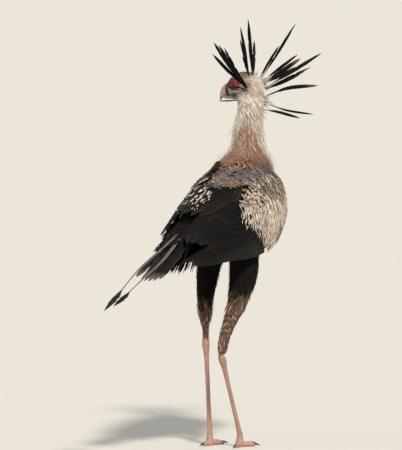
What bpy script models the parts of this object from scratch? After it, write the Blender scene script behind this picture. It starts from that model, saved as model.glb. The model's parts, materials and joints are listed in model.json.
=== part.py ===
"""Secretary bird standing with its head turned to its left, life size, as a still model.

Metres, +Z up. The bird faces +X and its left side is +Y. Every body is laid out in bird
coordinates, with X = 0 and Y = 0 between the feet, and moved by SHIFT when it is finished,
so that the origin is under the middle of the whole bird's box.
"""
import math
import random

import bmesh
import bpy
from mathutils import Matrix, Vector

COLLECTION_NAME = "secretary_bird"
CUTTER_NAME = "secretary_bird_cutters"
SHIFT = Vector((0.2082, 0.0227, 0.0))
GAP = 0.0003
FLAT_ANGLE = math.radians(0.05)

COLOURS = {
    "pale_plumage": (0.78, 0.71, 0.62, 1.0),
    "grey_plumage": (0.33, 0.31, 0.31, 1.0),
    "cream_plumage": (0.74, 0.66, 0.55, 1.0),
    "black_plumage": (0.03, 0.025, 0.022, 1.0),
    "leg_skin": (0.62, 0.43, 0.35, 1.0),
    "bill_horn": (0.50, 0.44, 0.43, 1.0),
    "claw_horn": (0.05, 0.045, 0.04, 1.0),
    "eye_gloss": (0.06, 0.035, 0.02, 1.0),
}
ROUGHNESS = {"eye_gloss": 0.1, "bill_horn": 0.4, "claw_horn": 0.4}
PLAIN_ROUGHNESS = 0.8

# Torso sections: x, centre z, half height, half width.
TORSO = (
    (0.187, 0.775, 0.022, 0.022),
    (0.165, 0.775, 0.075, 0.055),
    (0.130, 0.770, 0.105, 0.078),
    (0.080, 0.757, 0.125, 0.090),
    (0.020, 0.742, 0.128, 0.092),
    (-0.040, 0.730, 0.115, 0.088),
    (-0.100, 0.715, 0.090, 0.075),
    (-0.150, 0.708, 0.065, 0.058),
    (-0.195, 0.700, 0.040, 0.040),
    (-0.212, 0.697, 0.018, 0.018),
)
TORSO_POWER = 2.4
TORSO_RINGS = 15
TORSO_SIDES = 22

# Neck sections: z, centre x, half depth, half width.
NECK = (
    (0.830, 0.100, 0.090, 0.088),
    (0.862, 0.110, 0.079, 0.077),
    (0.885, 0.115, 0.066, 0.063),
    (0.905, 0.118, 0.055, 0.054),
    (0.930, 0.118, 0.049, 0.048),
    (0.960, 0.119, 0.045, 0.044),
    (0.990, 0.121, 0.041, 0.040),
    (1.012, 0.124, 0.038, 0.037),
)
NECK_SIDES = 16
NECK_TOP = 1.012

# Throat and nape under the skull: z, centre x, centre y, half depth, half width.
THROAT = (
    (NECK_TOP + GAP, 0.124, 0.000, 0.038, 0.037),
    (1.030, 0.125, -0.004, 0.038, 0.041),
    (1.050, 0.126, 0.000, 0.036, 0.043),
    (1.070, 0.127, 0.010, 0.030, 0.045),
    (1.085, 0.127, 0.022, 0.020, 0.030),
)

# Head frame: origin in the skull, x along the bill, y to the left, z up.
HEAD_AT = Vector((0.127, 0.025, 1.090))
HEAD_YAW = math.radians(97.0)
HEAD_PITCH = math.radians(3.0)

# Skull sections in the head frame: x, centre z, half height, half width.
SKULL = (
    (-0.064, -0.012, 0.008, 0.008),
    (-0.052, -0.005, 0.028, 0.025),
    (-0.032, 0.002, 0.040, 0.033),
    (-0.006, 0.004, 0.0425, 0.034),
    (0.018, 0.001, 0.038, 0.030),
    (0.038, -0.003, 0.030, 0.022),
    (0.050, -0.006, 0.021, 0.0145),
    (0.056, -0.007, 0.013, 0.009),
)
SKULL_RINGS = 11
SKULL_SIDES = 16

# Bill sections in the head frame: top x, top z, bottom x, bottom z, half width.
BILL_UPPER = (
    (0.036, 0.016, 0.033, -0.0235, 0.0130),
    (0.051, 0.0145, 0.046, -0.0235, 0.0112),
    (0.060, 0.0100, 0.054, -0.0225, 0.0095),
    (0.068, 0.0020, 0.061, -0.0235, 0.0076),
    (0.0745, -0.0080, 0.0665, -0.0265, 0.0056),
    (0.0778, -0.0200, 0.0705, -0.0310, 0.0038),
    (0.0785, -0.0310, 0.0745, -0.0360, 0.0020),
)
BILL_UPPER_TIP = (0.0772, -0.0405)
BILL_LOWER = (
    (0.030, -0.0215, 0.030, -0.0330, 0.0108),
    (0.045, -0.0215, 0.044, -0.0345, 0.0094),
    (0.056, -0.0215, 0.055, -0.0335, 0.0072),
    (0.0635, -0.0245, 0.063, -0.0320, 0.0048),
)
BILL_LOWER_TIP = (0.0685, -0.0290)
BILL_SIDES = 14

EYE_AT = (0.022, 0.0225, 0.010)
EYE_RADIUS = 0.0092
LID_OUT = 0.0052
LID_RADIUS = 0.0088
LID_THICK = 0.0017
LID_STEPS = 12
LID_SIDES = 5
# Brow ridge in the head frame: x, y, z, size.
BROW = (
    (-0.002, 0.0275, 0.019, 0.003),
    (0.012, 0.0275, 0.0215, 0.0055),
    (0.028, 0.0235, 0.0205, 0.0055),
    (0.042, 0.0155, 0.015, 0.003),
)
NOSTRIL_AT = (0.0565, 0.0102, 0.0005)
NOSTRIL_SIZE = (0.0036, 0.0026, 0.0016)

# Wing surface of the left wing, front to tip, each row from the lower edge to the upper edge.
WING = (
    ((0.163, 0.062, 0.700), (0.176, 0.074, 0.728), (0.182, 0.078, 0.762), (0.174, 0.074, 0.800),
     (0.150, 0.062, 0.834)),
    ((0.118, 0.108, 0.640), (0.126, 0.126, 0.682), (0.130, 0.130, 0.738), (0.120, 0.114, 0.808),
     (0.098, 0.070, 0.856)),
    ((0.052, 0.114, 0.602), (0.058, 0.132, 0.660), (0.060, 0.134, 0.732), (0.048, 0.106, 0.806),
     (0.026, 0.046, 0.872)),
    ((-0.045, 0.114, 0.586), (-0.047, 0.132, 0.645), (-0.050, 0.126, 0.715), (-0.057, 0.084, 0.792),
     (-0.066, 0.012, 0.850)),
    ((-0.140, 0.102, 0.580), (-0.146, 0.118, 0.628), (-0.150, 0.108, 0.690), (-0.156, 0.068, 0.750),
     (-0.164, 0.008, 0.796)),
    ((-0.240, 0.086, 0.572), (-0.246, 0.094, 0.605), (-0.250, 0.087, 0.650), (-0.254, 0.062, 0.692),
     (-0.256, 0.010, 0.730)),
    ((-0.332, 0.078, 0.580), (-0.340, 0.080, 0.594), (-0.344, 0.078, 0.610), (-0.340, 0.074, 0.626),
     (-0.330, 0.066, 0.640)),
)
# How far the tips of each folded wing stand from the mirrored shape: x, outward, z.
WING_TIP_SHIFT = {1: (0.026, -0.018, 0.012), -1: (-0.036, -0.004, -0.014)}
WING_ROWS = 8
WING_COLUMNS = 7
WING_RIM = 0.0045
WING_DEPTH = 0.046
WING_AXIS_Z = 0.735

# Feather rows of a wing: count, t of the first and last root, s of the roots at those two,
# s of the tips at those two, t gained from root to tip at those two, half width,
# lift of the first and last tip off the surface, width profile.
BROAD = (0.70, 1.00, 0.88, 0.22)
POINTED = (0.60, 1.00, 0.95, 0.62, 0.12)
WING_FEATHERS = (
    (4, 0.03, 0.27, 0.52, 0.54, 0.98, 1.02, 0.10, 0.12, 0.0160, 0.0004, 0.0024, POINTED),
    (5, 0.24, 0.66, 0.48, 0.50, 0.93, 0.94, 0.10, 0.14, 0.0185, 0.0024, 0.0062, BROAD),
    (3, 0.74, 0.93, 0.45, 0.42, 0.86, 0.79, 0.06, 0.04, 0.0200, 0.0066, 0.0080, BROAD),
    (5, 0.02, 0.44, 0.24, 0.40, 0.40, 0.62, -0.02, 0.00, 0.0180, 0.0020, 0.0062, BROAD),
    (2, 0.56, 0.70, 0.40, 0.38, 0.62, 0.58, 0.01, 0.01, 0.0190, 0.0068, 0.0072, BROAD),
    (4, 0.10, 0.66, 0.13, 0.23, 0.30, 0.45, -0.02, 0.00, 0.0200, 0.0044, 0.0068, BROAD),
    (3, 0.80, 0.98, 0.28, 0.33, 0.56, 0.62, 0.02, 0.02, 0.0220, 0.0080, 0.0075, BROAD),
    (2, 0.85, 0.99, 0.16, 0.20, 0.38, 0.44, 0.02, 0.01, 0.0220, 0.0060, 0.0060, BROAD),
)
WING_FEATHER_THICK = 0.0016
WING_ROOT_SINK = 0.006
MIDLINE_GAP = 0.0006
NECK_CLEAR = 0.0065
# The tertial that stands off the right wing and the one that stands off the left.
RAISED = {
    -1: ((0.60, 0.69), (0.50, 0.77), 0.024, 0.017),
    1: ((0.60, 0.88), (0.70, 0.97), 0.020, 0.013),
}

# Tail frame: l runs back along the tail from TAIL_AT, y to the left, z up.
TAIL_AT = Vector((-0.150, 0.0, 0.727))
TAIL_DROP = math.radians(25.0)

MATERIALS = {}


def start():
    """Clear the scene and make the collections."""
    for obj in list(bpy.data.objects):
        bpy.data.objects.remove(obj, do_unlink=True)
    for name in (COLLECTION_NAME, CUTTER_NAME):
        collection = bpy.data.collections.new(name)
        bpy.context.scene.collection.children.link(collection)
    for name, colour in COLOURS.items():
        material = bpy.data.materials.new(name)
        material.use_nodes = True
        shader = material.node_tree.nodes["Principled BSDF"]
        shader.inputs["Base Color"].default_value = colour
        shader.inputs["Roughness"].default_value = ROUGHNESS.get(name, PLAIN_ROUGHNESS)
        MATERIALS[name] = material


def spline(rows, t):
    """A point on the Catmull-Rom curve through the rows, t from 0 to 1, straight on beyond."""
    last = len(rows) - 1
    if t < 0:
        return [p + t * last * (q - p) for p, q in zip(rows[0], rows[1])]
    if t > 1:
        return [q + (t - 1) * last * (q - p) for p, q in zip(rows[-2], rows[-1])]
    place = t * last
    k = min(int(place), last - 1)
    u = place - k
    b = rows[k]
    c = rows[k + 1]
    a = rows[k - 1] if k > 0 else [2 * p - q for p, q in zip(b, c)]
    d = rows[k + 2] if k + 2 <= last else [2 * q - p for p, q in zip(b, c)]
    result = []
    for p0, p1, p2, p3 in zip(a, b, c, d):
        slope = p2 - p0
        bend = 2 * p0 - 5 * p1 + 4 * p2 - p3
        jerk = 3 * p1 - p0 - 3 * p2 + p3
        result.append(p1 + 0.5 * u * (slope + u * (bend + u * jerk)))
    return result


def mesh_object(name, verts, faces):
    """An object in the cutter collection, with its faces turned outward."""
    mesh = bpy.data.meshes.new(name)
    mesh.from_pydata([tuple(v) for v in verts], [], faces)
    sheet = bmesh.new()
    sheet.from_mesh(mesh)
    bmesh.ops.recalc_face_normals(sheet, faces=sheet.faces)
    if sheet.calc_volume(signed=True) < 0:
        bmesh.ops.reverse_faces(sheet, faces=sheet.faces)
    sheet.to_mesh(mesh)
    sheet.free()
    obj = bpy.data.objects.new(name, mesh)
    obj.hide_render = True
    obj.display_type = "WIRE"
    bpy.data.collections[CUTTER_NAME].objects.link(obj)
    return obj


def loft(name, rings, first=None, last=None):
    """A closed body through rings of equal count, its ends drawn to a pole point each."""
    count = len(rings[0])
    verts = [p for ring in rings for p in ring]
    faces = []
    for r in range(len(rings) - 1):
        for k in range(count):
            a = r * count + k
            b = r * count + (k + 1) % count
            faces.append((a, b, b + count, a + count))
    for ring_index, pole in ((0, first), (len(rings) - 1, last)):
        ring = rings[ring_index]
        if pole is None:
            pole = sum((Vector(p) for p in ring), Vector()) / count
        verts.append(pole)
        start_at = ring_index * count
        for k in range(count):
            faces.append((start_at + k, start_at + (k + 1) % count, len(verts) - 1))
    return mesh_object(name, verts, faces)


def oval(centre, across, up, sides, power=2.0):
    """Points of a rounded section around centre, with the two half axes as vectors."""
    points = []
    for k in range(sides):
        angle = 2 * math.pi * k / sides
        c = math.cos(angle)
        s = math.sin(angle)
        c = math.copysign(abs(c) ** (2 / power), c)
        s = math.copysign(abs(s) ** (2 / power), s)
        points.append(centre + across * c + up * s)
    return points


def apply_modifiers(obj):
    """Bake the modifiers of obj into its mesh."""
    depsgraph = bpy.context.evaluated_depsgraph_get()
    mesh = bpy.data.meshes.new_from_object(obj.evaluated_get(depsgraph))
    obj.modifiers.clear()
    old = obj.data
    obj.data = mesh
    bpy.data.meshes.remove(old)


def keep_largest(obj):
    """Remove every closed surface of obj but the largest."""
    sheet = bmesh.new()
    sheet.from_mesh(obj.data)
    todo = set(sheet.faces)
    islands = []
    while todo:
        stack = [todo.pop()]
        island = list(stack)
        while stack:
            face = stack.pop()
            for edge in face.edges:
                for near in edge.link_faces:
                    if near in todo:
                        todo.remove(near)
                        stack.append(near)
                        island.append(near)
        islands.append(island)
    islands.sort(key=lambda faces: sum(f.calc_area() for f in faces))
    islands.pop()
    loose = [f for island in islands for f in island]
    bmesh.ops.delete(sheet, geom=loose, context="FACES")
    lone = [v for v in sheet.verts if not v.link_faces]
    bmesh.ops.delete(sheet, geom=lone, context="VERTS")
    sheet.to_mesh(obj.data)
    sheet.free()


def cut(target, cutter, keep_cutter=False):
    """Take the cutter out of the target."""
    modifier = target.modifiers.new("cut", "BOOLEAN")
    modifier.operation = "DIFFERENCE"
    modifier.object = cutter
    modifier.solver = "MANIFOLD"
    apply_modifiers(target)
    keep_largest(target)
    if not keep_cutter:
        bpy.data.objects.remove(cutter, do_unlink=True)


def fuse(target, bodies):
    """Join the bodies onto the target in one union and remove them."""
    group = bpy.data.collections.new("fuse")
    for body in bodies:
        group.objects.link(body)
    modifier = target.modifiers.new("fuse", "BOOLEAN")
    modifier.operation = "UNION"
    modifier.operand_type = "COLLECTION"
    modifier.collection = group
    modifier.solver = "MANIFOLD"
    apply_modifiers(target)
    for body in bodies:
        bpy.data.objects.remove(body, do_unlink=True)
    bpy.data.collections.remove(group)
    keep_largest(target)


def box(name, low, high):
    """An upright box between two corners."""
    verts = []
    for x in (low[0], high[0]):
        for y in (low[1], high[1]):
            for z in (low[2], high[2]):
                verts.append((x, y, z))
    faces = [(0, 1, 3, 2), (4, 6, 7, 5), (0, 4, 5, 1), (2, 3, 7, 6), (0, 2, 6, 4), (1, 5, 7, 3)]
    return mesh_object(name, verts, faces)


def ball(name, centre, radius, rings=6, sides=12):
    """A round body with its poles up and down."""
    loops = []
    for r in range(1, rings):
        angle = math.pi * r / rings
        level = centre + Vector((0, 0, -radius * math.cos(angle)))
        reach = radius * math.sin(angle)
        loops.append(oval(level, Vector((reach, 0, 0)), Vector((0, reach, 0)), sides))
    low = centre - Vector((0, 0, radius))
    high = centre + Vector((0, 0, radius))
    return loft(name, loops, low, high)


def finish(obj, material, name=None):
    """Move a body to the row's frame and hand it to the bird's collection."""
    sheet = bmesh.new()
    sheet.from_mesh(obj.data)
    bmesh.ops.dissolve_limit(sheet, angle_limit=FLAT_ANGLE, verts=sheet.verts, edges=sheet.edges)
    bmesh.ops.triangulate(sheet, faces=sheet.faces)
    sheet.transform(Matrix.Translation(SHIFT))
    sheet.to_mesh(obj.data)
    sheet.free()
    obj.data.materials.clear()
    obj.data.materials.append(MATERIALS[material])
    if name:
        obj.name = name
    obj.data.name = obj.name
    obj.hide_render = False
    obj.display_type = "TEXTURED"
    bpy.data.collections[CUTTER_NAME].objects.unlink(obj)
    bpy.data.collections[COLLECTION_NAME].objects.link(obj)


def torso_body(name, grow=0.0):
    """The trunk, grown outward by the given amount."""
    rings = []
    for r in range(TORSO_RINGS):
        x, z, half_height, half_width = spline(TORSO, r / (TORSO_RINGS - 1))
        across = Vector((0, half_width + grow, 0))
        up = Vector((0, 0, half_height + grow))
        rings.append(oval(Vector((x, 0, z)), across, up, TORSO_SIDES, TORSO_POWER))
    front = Vector((TORSO[0][0] + 0.004 + grow, 0, TORSO[0][1]))
    back = Vector((TORSO[-1][0] - 0.004 - grow, 0, TORSO[-1][1]))
    return loft(name, rings, front, back)


def neck_body(name, grow=0.0):
    """The neck down into the shoulders, grown outward by the given amount."""
    rings = []
    for k, (z, x, half_depth, half_width) in enumerate(NECK):
        level = z - grow if k == 0 else z
        along = Vector((half_depth + grow, 0, 0))
        across = Vector((0, half_width + grow, 0))
        rings.append(oval(Vector((x, 0, level)), along, across, NECK_SIDES))
    return loft(name, rings)


def head_matrix():
    """From the head frame to bird coordinates."""
    turn = Matrix.Rotation(HEAD_YAW, 4, "Z") @ Matrix.Rotation(HEAD_PITCH, 4, "Y")
    return Matrix.Translation(HEAD_AT) @ turn


def skull_body(name, grow=0.0):
    """The skull in bird coordinates, grown outward by the given amount."""
    rings = []
    for r in range(SKULL_RINGS):
        x, z, half_height, half_width = spline(SKULL, r / (SKULL_RINGS - 1))
        across = Vector((0, half_width + grow, 0))
        up = Vector((0, 0, half_height + grow))
        rings.append(oval(Vector((x, 0, z)), across, up, SKULL_SIDES))
    back = Vector((SKULL[0][0] - 0.002 - grow, 0, SKULL[0][1]))
    front = Vector((SKULL[-1][0] + 0.002 + grow, 0, SKULL[-1][1]))
    body = loft(name, rings, back, front)
    body.data.transform(head_matrix())
    return body


def throat_body(name, grow=0.0):
    """The feathered throat and nape between the neck and the skull."""
    rings = []
    for z, x, y, half_depth, half_width in THROAT:
        along = Vector((half_depth + grow, 0, 0))
        across = Vector((0, half_width + grow, 0))
        rings.append(oval(Vector((x, y, z)), along, across, NECK_SIDES))
    return loft(name, rings)


def bill_body(name, sections, tip, grow=0.0):
    """One half of the bill in bird coordinates, grown outward by the given amount."""
    rings = []
    for top_x, top_z, low_x, low_z, half_width in sections:
        top = Vector((top_x, 0, top_z))
        low = Vector((low_x, 0, low_z))
        up = (top - low) / 2
        up = up.normalized() * (up.length + grow)
        across = Vector((0, half_width + grow, 0))
        rings.append(oval((top + low) / 2, across, up, BILL_SIDES, 2.3))
    pole = Vector((tip[0], 0, tip[1]))
    body = loft(name, rings, None, pole)
    body.data.transform(head_matrix())
    return body


def lid_body(side):
    """The raised rim of skin around one eye."""
    centre = eye_centre(side)
    turn = head_matrix().to_3x3()
    outward = (turn @ Vector((0.10, side, 0.04))).normalized()
    ahead = turn @ Vector((1, 0, 0))
    ahead = (ahead - outward * ahead.dot(outward)).normalized()
    up = outward.cross(ahead)
    level = centre + outward * LID_OUT
    verts = []
    for i in range(LID_STEPS):
        angle = 2 * math.pi * i / LID_STEPS
        spoke = ahead * math.cos(angle) + up * math.sin(angle)
        for j in range(LID_SIDES):
            turned = 2 * math.pi * j / LID_SIDES
            reach = LID_RADIUS + LID_THICK * math.cos(turned)
            verts.append(level + spoke * reach + outward * LID_THICK * math.sin(turned))
    faces = []
    for i in range(LID_STEPS):
        for j in range(LID_SIDES):
            a = i * LID_SIDES + j
            b = i * LID_SIDES + (j + 1) % LID_SIDES
            c = (i + 1) % LID_STEPS * LID_SIDES + (j + 1) % LID_SIDES
            d = (i + 1) % LID_STEPS * LID_SIDES + j
            faces.append((a, b, c, d))
    return mesh_object("lid", verts, faces)


def brow_body(side):
    """The ridge of bone over one eye."""
    rings = []
    for x, y, z, size in BROW:
        centre = Vector((x, side * y, z))
        rings.append(oval(centre, Vector((0, size, 0)), Vector((0, 0, size * 0.7)), 8))
    brow = loft("brow", rings)
    brow.data.transform(head_matrix())
    return brow


def eye_centre(side):
    """Centre of one eye in bird coordinates."""
    return head_matrix() @ Vector((EYE_AT[0], side * EYE_AT[1], EYE_AT[2]))


def nostril(side):
    """The cutter of one nostril."""
    x, y, z = NOSTRIL_AT
    hollow = ball("nostril", Vector((0, 0, 0)), 1.0, 5, 8)
    hollow.data.transform(Matrix.Diagonal((*NOSTRIL_SIZE, 1.0)))
    hollow.data.transform(Matrix.Rotation(math.radians(28), 4, "Y"))
    hollow.data.transform(Matrix.Translation((x, side * y, z)))
    hollow.data.transform(head_matrix())
    return hollow


def wing_point(s, t, side):
    """A point of the wing's outer surface, s from front to tip, t from low edge to top edge."""
    column = [spline(row, t) for row in WING]
    x, y, z = spline(column, s)
    dx, dy, dz = WING_TIP_SHIFT[side]
    late = max(s, 0.0) ** 4
    return Vector((x + dx * late, side * (y + dy * late), z + dz * late))


def wing_normal(s, t, side):
    """The outward direction of the wing's surface."""
    step = 0.02
    along = wing_point(min(s + step, 1), t, side) - wing_point(max(s - step, 0), t, side)
    up = wing_point(s, min(t + step, 1), side) - wing_point(s, max(t - step, 0), side)
    normal = along.cross(up).normalized()
    outward = Vector((0, side, 0.5))
    return normal if normal.dot(outward) > 0 else -normal


def wing_depth(s, t):
    """How deep the wing reaches under its outer surface."""
    middle = math.sin(math.pi * min(max((t - 0.18) / 0.82, 0.0), 1.0)) ** 0.8
    front = min(s / 0.16, 1.0)
    back = min(max((0.62 - s) / 0.25, 0.0), 1.0)
    return WING_RIM + (WING_DEPTH - WING_RIM) * middle * front * back


def wing_slab(name, side):
    """The wing as a slab under its outer surface, thick where it lies on the trunk."""
    outer = []
    inner = []
    for i in range(WING_ROWS):
        s = i / (WING_ROWS - 1)
        for j in range(WING_COLUMNS):
            t = j / (WING_COLUMNS - 1)
            point = wing_point(s, t, side)
            axis = Vector((point.x - 0.01, side * 0.022, WING_AXIS_Z + 0.12 * min(point.x, 0.0)))
            inward = (axis - point).normalized()
            outer.append(point)
            inner.append(point + inward * wing_depth(s, t))
    verts = outer + inner
    half = len(outer)
    faces = []
    for i in range(WING_ROWS - 1):
        for j in range(WING_COLUMNS - 1):
            a = i * WING_COLUMNS + j
            quad = (a, a + 1, a + 1 + WING_COLUMNS, a + WING_COLUMNS)
            faces.append(quad)
            faces.append(tuple(half + k for k in reversed(quad)))
    rim = list(range(WING_COLUMNS))
    rim += [i * WING_COLUMNS + WING_COLUMNS - 1 for i in range(1, WING_ROWS)]
    rim += [(WING_ROWS - 1) * WING_COLUMNS + j for j in range(WING_COLUMNS - 2, -1, -1)]
    rim += [i * WING_COLUMNS for i in range(WING_ROWS - 2, 0, -1)]
    for k, a in enumerate(rim):
        b = rim[(k + 1) % len(rim)]
        faces.append((b, a, a + half, b + half))
    return mesh_object(name, verts, faces)


def vane(name, stations, thick):
    """A closed feather: stations of (centre, side, normal, half width), flat below, ridged above."""
    rings = []
    for centre, side, normal, half_width in stations:
        edge = normal * thick * 0.5
        reach = side * half_width
        ridge = normal * thick
        rings.append(
            [centre - reach - edge, centre + reach - edge, centre + reach, centre + ridge, centre - reach]
        )
    verts = [p for ring in rings for p in ring]
    count = 5
    faces = []
    for r in range(len(rings) - 1):
        for k in range(count):
            a = r * count + k
            b = r * count + (k + 1) % count
            if k in (0, 3):
                faces.append((a, b, b + count))
                faces.append((a, b + count, a + count))
            else:
                faces.append((a, b, a + count))
                faces.append((b, b + count, a + count))
    end = (len(rings) - 1) * count
    for base in (0, end):
        faces.append((base, base + 1, base + 2))
        faces.append((base, base + 2, base + 3))
        faces.append((base, base + 3, base + 4))
    return mesh_object(name, verts, faces)


def path_vane(name, points, widths, facing, thick):
    """A feather along a path, its broad side turned to the facing direction."""
    count = len(widths)
    stations = []
    for k in range(count):
        t = k / (count - 1)
        here = Vector(spline(points, t))
        ahead = Vector(spline(points, min(t + 0.05, 1.0)))
        behind = Vector(spline(points, max(t - 0.05, 0.0)))
        along = (ahead - behind).normalized()
        normal = (facing - along * facing.dot(along)).normalized()
        stations.append((here, along.cross(normal), normal, widths[k]))
    return vane(name, stations, thick)


# Lock shape: place along it and share of the half width.
LOCK_PROFILE = ((0.0, 0.60), (0.50, 1.0), (1.0, 0.16))
LOCK_SINK = 0.004
LOCK_THICK = 0.0014
# Rings of hackles on the neck: root height, count, length.
NECK_LOCKS = (
    (0.998, 6, 0.038),
    (0.976, 6, 0.040),
    (0.952, 6, 0.042),
    (0.928, 6, 0.042),
    (0.902, 7, 0.040),
)
NECK_LOCK_WIDE = 0.0072
NECK_LOCK_LIFT = (0.0030, 0.0060)
HEAD_LOCK_LIFT = (0.0015, 0.0035)
THIGH_LOCK_LIFT = (0.0020, 0.0045)
# Shortest and longest of a row of feathers, as shares of its length.
LENGTH_SPREAD = (0.85, 1.15)
# Plumes behind the neck: root height, bearing in degrees, length, lift of the tip.
NECK_PLUMES = ((0.972, 228.0, 0.060, 0.0080), (0.950, 216.0, 0.052, 0.0075))
PLUME_WIDE = 0.0032
HEAD_LOCKS = ((1.047, 7, 0.031),)
HEAD_LOCK_WIDE = 0.0075

# Camera directions of the photo, used to lay the crest out: right, ahead.
VIEW_RIGHT = Vector((0.530, -0.848, 0.0))
VIEW_AHEAD = Vector((0.848, 0.530, 0.0))

# Crest feathers as root and tip, each (right, ahead, z), then half width and how far the tip bends down.
CREST = (
    ((0.056, 0.075, 1.093), (-0.0436, 0.020, 1.232), 0.0085, 0.004),
    ((0.048, 0.080, 1.100), (-0.0476, 0.050, 1.196), 0.0070, 0.004),
    ((0.060, 0.085, 1.090), (-0.0122, 0.060, 1.215), 0.0060, 0.006),
    ((0.070, 0.095, 1.100), (0.0384, 0.110, 1.275), 0.0060, -0.004),
    ((0.078, 0.105, 1.092), (0.0620, 0.090, 1.300), 0.0075, 0.000),
    ((0.079, 0.120, 1.100), (0.0814, 0.170, 1.232), 0.0065, 0.000),
    ((0.084, 0.110, 1.095), (0.1574, 0.130, 1.217), 0.0055, -0.002),
    ((0.088, 0.125, 1.093), (0.2092, 0.170, 1.284), 0.0060, 0.002),
    ((0.092, 0.110, 1.098), (0.2144, 0.100, 1.192), 0.0060, 0.000),
    ((0.092, 0.130, 1.093), (0.2245, 0.190, 1.175), 0.0095, 0.002),
    ((0.094, 0.115, 1.078), (0.2876, 0.140, 1.194), 0.0075, 0.002),
    ((0.094, 0.130, 1.074), (0.2358, 0.200, 1.134), 0.0080, 0.002),
    ((0.096, 0.110, 1.056), (0.2763, 0.090, 1.097), 0.0050, -0.012),
    ((0.098, 0.120, 1.048), (0.2647, 0.160, 1.004), 0.0045, 0.008),
    ((0.088, 0.100, 1.026), (0.2217, 0.080, 0.997), 0.0060, -0.004),
    ((0.046, 0.085, 1.052), (-0.0284, 0.075, 1.050), 0.0030, 0.000),
    ((0.068, 0.080, 1.080), (0.0120, 0.060, 1.096), 0.0035, -0.002),
)
CREST_PROFILE = (0.25, 0.42, 0.95, 0.95, 0.14)
CREST_THICK = 0.0014


def wing_vane(side, roots, tips, half_width, lift, profile):
    """One feather lying along the wing's surface from (s, t) to (s, t), its tip lifted."""
    stations = []
    points = []
    last = len(profile) - 1
    for k in range(len(profile)):
        u = k / last
        s = roots[0] + (tips[0] - roots[0]) * u
        t = roots[1] + (tips[1] - roots[1]) * u
        sink = min(WING_ROOT_SINK, 0.5 * wing_depth(s, t))
        normal = wing_normal(s, t, side)
        points.append((wing_point(s, t, side) + normal * (lift * u - sink * (1 - u) ** 2), normal))
    for k, (point, normal) in enumerate(points):
        ahead = points[min(k + 1, last)][0]
        behind = points[max(k - 1, 0)][0]
        along = (ahead - behind).normalized()
        normal = (normal - along * normal.dot(along)).normalized()
        stations.append((point, along.cross(normal), normal, half_width * profile[k]))
    return vane("wing_vane", stations, WING_FEATHER_THICK)


def wing_feathers(side):
    """Remiges, coverts and scapulars of one wing."""
    rng = random.Random(40 + side)
    feathers = []
    for row in WING_FEATHERS:
        count, t_first, t_last, root_first, root_last, tip_first, tip_last = row[:7]
        turn_first, turn_last, half_width, lift_first, lift_last, profile = row[7:]
        for k in range(count):
            u = k / (count - 1)
            t = t_first + (t_last - t_first) * u
            roots = (root_first + (root_last - root_first) * u, t)
            turn = turn_first + (turn_last - turn_first) * u
            reach = tip_first + (tip_last - tip_first) * u + rng.uniform(-0.014, 0.014)
            tips = (reach, t + turn + rng.uniform(-0.008, 0.008))
            lift = lift_first + (lift_last - lift_first) * u + rng.uniform(0.0, 0.0012)
            wide = half_width * rng.uniform(0.92, 1.06)
            feathers.append(wing_vane(side, roots, tips, wide, lift, profile))
    roots, tips, lift, half_width = RAISED[side]
    feathers.append(wing_vane(side, roots, tips, half_width, lift, BROAD))
    return feathers


def lock(point, along, outward, length, half_width, lift, thick):
    """A lanceolate feather from a point, hanging along a direction and lifted at its tip."""
    across = along.cross(outward).normalized()
    stations = []
    for u, wide in LOCK_PROFILE:
        centre = point + along * (length * u) + outward * (lift * u * u - LOCK_SINK * (1 - u))
        stations.append((centre, across, outward, half_width * wide))
    return vane("lock", stations, thick)


def neck_section(z):
    """Centre x, half depth and half width of the neck at a height."""
    rows = NECK
    for low, high in zip(rows[:-1], rows[1:]):
        if low[0] <= z <= high[0]:
            u = (z - low[0]) / (high[0] - low[0])
            return [p + (q - p) * u for p, q in zip(low[1:], high[1:])]
    return rows[-1][1:] if z > rows[-1][0] else rows[0][1:]


def neck_locks():
    """The shaggy hackles of the neck, in staggered rings, and the two plumes that hang behind."""
    rng = random.Random(7)
    feathers = []
    for level, (z, count, length) in enumerate(NECK_LOCKS):
        for k in range(count):
            angle = 2 * math.pi * (k + 0.5 * (level % 2) + rng.uniform(-0.12, 0.12)) / count
            high = z + rng.uniform(-0.004, 0.004)
            reach = length * rng.uniform(*LENGTH_SPREAD)
            lift = rng.uniform(*NECK_LOCK_LIFT)
            feathers.append(neck_lock(high, angle, reach, lift, NECK_LOCK_WIDE))
    for z, angle, length, lift in NECK_PLUMES:
        feathers.append(neck_lock(z, math.radians(angle), length, lift, PLUME_WIDE))
    return feathers


def neck_lock(z, angle, length, lift, half_width):
    """One hackle at a height and a bearing on the neck."""
    x, half_depth, half_width_neck = neck_section(z)
    low_x, low_depth, low_width = neck_section(z - length)
    here = Vector((x + half_depth * math.cos(angle), half_width_neck * math.sin(angle), z))
    there = Vector((low_x + low_depth * math.cos(angle), low_width * math.sin(angle), z - length))
    along = (there - here).normalized()
    outward = Vector((math.cos(angle), math.sin(angle), 0))
    outward = (outward - along * outward.dot(along)).normalized()
    return lock(here, along, outward, length, half_width, lift, LOCK_THICK)


def nape_locks():
    """Short hackles on the throat and nape, kept above the neck."""
    rng = random.Random(3)
    feathers = []
    for z, count, length in HEAD_LOCKS:
        for k in range(count):
            angle = 2 * math.pi * (k + rng.uniform(-0.15, 0.15)) / count
            rows = THROAT
            u = (z - rows[0][0]) / (rows[-1][0] - rows[0][0])
            level, x, y, half_depth, half_width = spline(rows, u)
            here = Vector((x + half_depth * math.cos(angle), y + half_width * math.sin(angle), z))
            outward = Vector((math.cos(angle), math.sin(angle), 0))
            along = Vector((0, 0, -1)) + outward * 0.05
            along = along.normalized()
            outward = (outward - along * outward.dot(along)).normalized()
            lift = rng.uniform(*HEAD_LOCK_LIFT)
            feathers.append(lock(here, along, outward, length, HEAD_LOCK_WIDE, lift, LOCK_THICK))
    return feathers


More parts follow.
